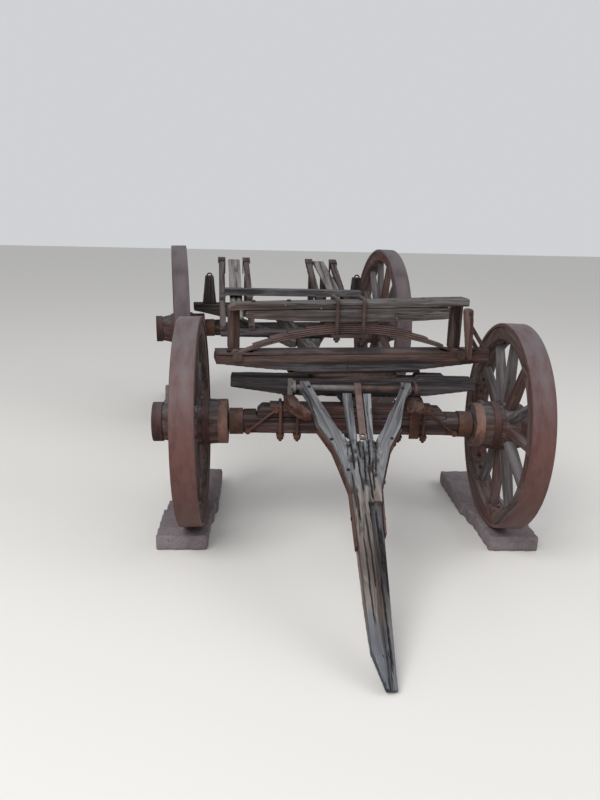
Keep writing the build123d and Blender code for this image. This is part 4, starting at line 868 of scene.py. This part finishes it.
# Straps, clips and plates
# Flat bar and round rod bent hot and bolted round the timbers, scaly and red-brown.
strap_rust = rusted("strap_rust", ((0.036, 0.016, 0.012), (0.110, 0.044, 0.029), (0.23, 0.092, 0.050)))
plate_rust = rusted("plate_rust", ((0.030, 0.019, 0.017), (0.074, 0.044, 0.038), (0.15, 0.086, 0.068)))
cap_rust = rusted(
    "cap_rust", ((0.020, 0.012, 0.011), (0.056, 0.030, 0.026), (0.12, 0.062, 0.045)), dust_and_sheen=0.6
)
dress("front_axle_irons", strap_rust)
for name in ("lower_rub_plate", "king_pin", "spring_beam_irons", "spring_clips", "guard_brace"):
    dress(name, plate_rust)
dress("skid_irons", cap_rust)

# Rings of the rear stakes
# A staple of round rod driven into each stake's head.
ring_x, ring_rod_radius, leg_length = 0.528, 0.005, 0.03
for side, across_place in (("left", ring_x), ("right", -ring_x)):
    head = across_rear @ Vector((across_place, 0, stake_head))
    bpy.ops.object.select_all(action="DESELECT")
    bpy.ops.mesh.primitive_torus_add(
        location=head, rotation=(quarter_turn, 0, 0), major_radius=ring_reach - 0.0055,
        minor_radius=ring_rod_radius, major_segments=32, minor_segments=10,
    )
    ring = bpy.context.object
    ring.name = f"{side}_stake_ring"
    bpy.ops.object.transform_apply(location=True, rotation=True, scale=True)
    bpy.ops.object.mode_set(mode="EDIT")
    bpy.ops.mesh.select_all(action="SELECT")
    bpy.ops.mesh.bisect(plane_co=(0, 0, stake_head - 0.002), plane_no=(0, 0, 1), clear_inner=True)
    bpy.ops.mesh.extrude_region_move(TRANSFORM_OT_translate={"value": (0, 0, -leg_length)})
    bpy.ops.mesh.select_all(action="SELECT")
    bpy.ops.mesh.fill_holes(sides=0)
    bpy.ops.mesh.select_all(action="SELECT")
    bpy.ops.mesh.normals_make_consistent(inside=False)
    bpy.ops.object.mode_set(mode="OBJECT")
    for vertex in ring.data.vertices:
        bend = 0.003 * math.sin((vertex.co.z - stake_head) * 90)
        vertex.co.y += bend + 0.0012 * noise.noise(vertex.co * 60)
    bpy.ops.object.shade_smooth_by_angle(angle=math.radians(40))
    ring.data.materials.append(cap_rust)
    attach(ring, "root")
    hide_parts("rear_stakes")

# Cross spring
# Six steel leaves on one arc, dark in the joints between them and streaked with rust.
spring_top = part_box("leaf_spring")[1][2]
leaf, leaf_count, arc_radius, spring_shift = 0.009, 6, 1.3501, -0.024
arc_height = spring_top - (leaf_count - 0.5) * leaf - arc_radius
arc_centre = Vector((king_pin.x + spring_shift, 0, arc_height))


def leaf_joints(place, facing):
    """Dark lines where one leaf lies on the next, on the spring's front and back."""
    away = place.node("VectorMath", {"operation": "SUBTRACT"}, {0: place, 1: arc_centre})
    reach = place.node("VectorMath", {"operation": "LENGTH"}, {0: stretched(away, (1, 0, 1))}, 1)
    phase = reach.sum("FRACT", (reach - (arc_radius - leaf / 2)) * (1 / leaf))
    edge = phase.sum("MINIMUM", phase, 1 - phase)
    side = facing.part(1)
    return between(edge, 0.24, 0.10) * between(side.sum("ABSOLUTE", side), 0.5, 0.8)


spring_rust = rusted(
    "spring_rust", ((0.064, 0.038, 0.033), (0.135, 0.084, 0.072), (0.22, 0.130, 0.098)),
    at=king_pin, draw=(1, 3, 3), smooth=0.3, groove=leaf_joints,
)
dress("leaf_spring", spring_rust)

# Nails and bolts of the upper bolster
# A few bright nails in the planks' faces, two old bolts near each of their ends, and the two
# bolts that hold the guard stake to its iron.
plank_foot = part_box("upper_bolster_plank")[0][2]
plank_rise, plank_end, plank_height = 0.021, -0.566, 0.0325
bolt_y = 0.012
nail_iron = rusted(
    "nail_iron", ((0.10, 0.088, 0.080), (0.24, 0.22, 0.205), (0.36, 0.34, 0.325)), smooth=0.6, dust_and_sheen=0.0
)
front_face = king_pin + Vector((0, -0.0495, 0))
nail_places = (
    (-0.324, 1.096), (-0.334, 1.103), (-0.168, 1.082), (0.173, 1.041), (-0.402, 1.034),
    (0.301, 1.104),
)
nail_spots = [(front_face + Vector((x, 0, z)), (0, -1, 0), 0.0034) for x, z in nail_places]
fasten("plank_nails", clout, nail_spots, "root", nail_iron, seed=3)
plank_spots = []
for x in (-0.455, -0.30, 0.31, 0.452):
    seam = plank_foot + plank_rise * (x - plank_end)
    plank_spots.append((king_pin + Vector((x, bolt_y, seam + plank_height)), (0, 0, 1), 0.011))
fasten("plank_bolts", domed_head, plank_spots, "root", bolt_rust, seed=5)
guard_spots = [
    (king_pin + Vector((0.500, -0.0915, 1.070)), (0, -1, 0), 0.010),
    (king_pin + Vector((0.514, -0.0915, 0.985)), (0, -1, 0), 0.007),
]
fasten("guard_bolts", domed_head, guard_spots, "root", bolt_rust, seed=7)

# Irons of the tongue
# A flat draw bar hooked over the pin, gone pinkish and pale, and a thin strap round the outside
# of each arm, bolted through; the bolts through the arms' faces have gone black.
draw_rust = rusted(
    "draw_rust", ((0.034, 0.014, 0.011), (0.100, 0.038, 0.027), (0.20, 0.080, 0.046)),
    at=pin_place, turn=down_tongue.to_euler(),
    other=((0.075, 0.046, 0.040), (0.150, 0.098, 0.086), (0.225, 0.160, 0.140)),
    share=lambda local: between(
        local.sum("ABSOLUTE", local.part(1)), 0.036, 0.028
    ),
)
dress("tongue_irons", draw_rust)
pin_iron = rusted(
    "pin_iron", ((0.085, 0.075, 0.072), (0.185, 0.170, 0.162), (0.27, 0.245, 0.228)),
    at=pin_place, turn=(0, 0, parked_turn), smooth=0.3, dust_and_sheen=0.1,
    other=((0.030, 0.018, 0.016), (0.080, 0.048, 0.041), (0.15, 0.085, 0.065)),
    share=lambda local: between(local.part(0), -0.010, 0.012),
)
dress("tongue_pin", pin_iron)
side_spots, face_spots = [], []
# Places along and across, with the two parts of the outward direction.
strap_places = (
    (0.300, 0.1373, 0.47, 0.88), (0.490, 0.0739, 0.26, 0.966), (0.660, 0.0565, 0.03, 1.0),
)
strap_depth, strap_thickness, arm_face = -0.008, 0.0068, 0.0285
for u, w, out_u, out_w in strap_places:
    for hand in (-1, 1):
        outward = Vector((out_u, hand * out_w, 0)).normalized()
        spot = Vector((u, hand * w, strap_depth)) + outward * strap_thickness
        side_spots.append((down_tongue @ spot, down_tongue.to_3x3() @ outward, 0.0095))
face_up = down_tongue.to_3x3() @ Vector((0, 0, 1))
for u, w in ((0.307, -0.124), (0.299, 0.126), (0.021, 0.204), (0.459, -0.066), (0.021, -0.206)):
    face_spots.append((down_tongue @ Vector((u, w, arm_face)), face_up, 0.0080))
fasten("strap_bolts", domed_head, side_spots, "tongue", bolt_rust, seed=9)
fasten("arm_bolts", domed_head, face_spots, "tongue", black_iron, seed=11)

# Bolts of the skids' caps
# One domed bolt through the top of each cap.
cap_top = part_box("skid_irons")[1][2]
cap_bolt_y, cap_half_length = 0.160, 0.036
cap_spots = []
for across_place in (-0.404, -0.228, 0.228, 0.404):
    spot = skid_place @ Vector((across_place, cap_bolt_y, cap_top - cap_half_length * skid_rise))
    cap_spots.append((spot, skid_place.to_3x3() @ Vector((0, -0.32, 0.947)), 0.010))
fasten("cap_bolts", domed_head, cap_spots, "root", cap_rust, seed=13)

for pattern in (nut, domed_head, clout):
    bpy.data.objects.remove(pattern)

# Concrete pads
# Three blocks cast end to end under each wheel, pinkish grey, rough and chipped at the edges.
pad_concrete, shader, place, _ = new_finish("cast_concrete")
broad = cloud(place, (3, 3, 3), 4.0, 0.6)
blotch = cloud(place, (22, 22, 22), 5.0, 0.65)
sand = cloud(place, (300, 300, 300), 3.0, 0.6)
gravel = between(cells(place, (70, 70, 70)), 0.34, 0.22)
mottled = between(broad * 0.6 + blotch * 0.4, 0.38, 0.62)
colour = tinted(mottled, (0.104, 0.083, 0.088), (0.190, 0.158, 0.168))
colour = tinted(between(sand, 0.42, 0.66) * 0.5, colour, (0.25, 0.212, 0.218))
colour = tinted(gravel * between(blotch, 0.5, 0.6) * 0.5, colour, (0.07, 0.058, 0.058))
height = blotch * 0.6 + sand * 0.3 + gravel * 0.3
plug(shader, Base_Color=colour, Roughness=0.93, Normal=bumped(height, 0.9, 0.004))
shader.inputs["Specular IOR Level"].default_value = 0.25
for name in ("front_pads", "rear_pads"):
    worn(name, "root", pad_concrete, Matrix.Identity(4), voxel=0.009, wear=0.0012, keep=0.6)

size = [[list(corner) for corner in box] for box in (cad_box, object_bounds())]
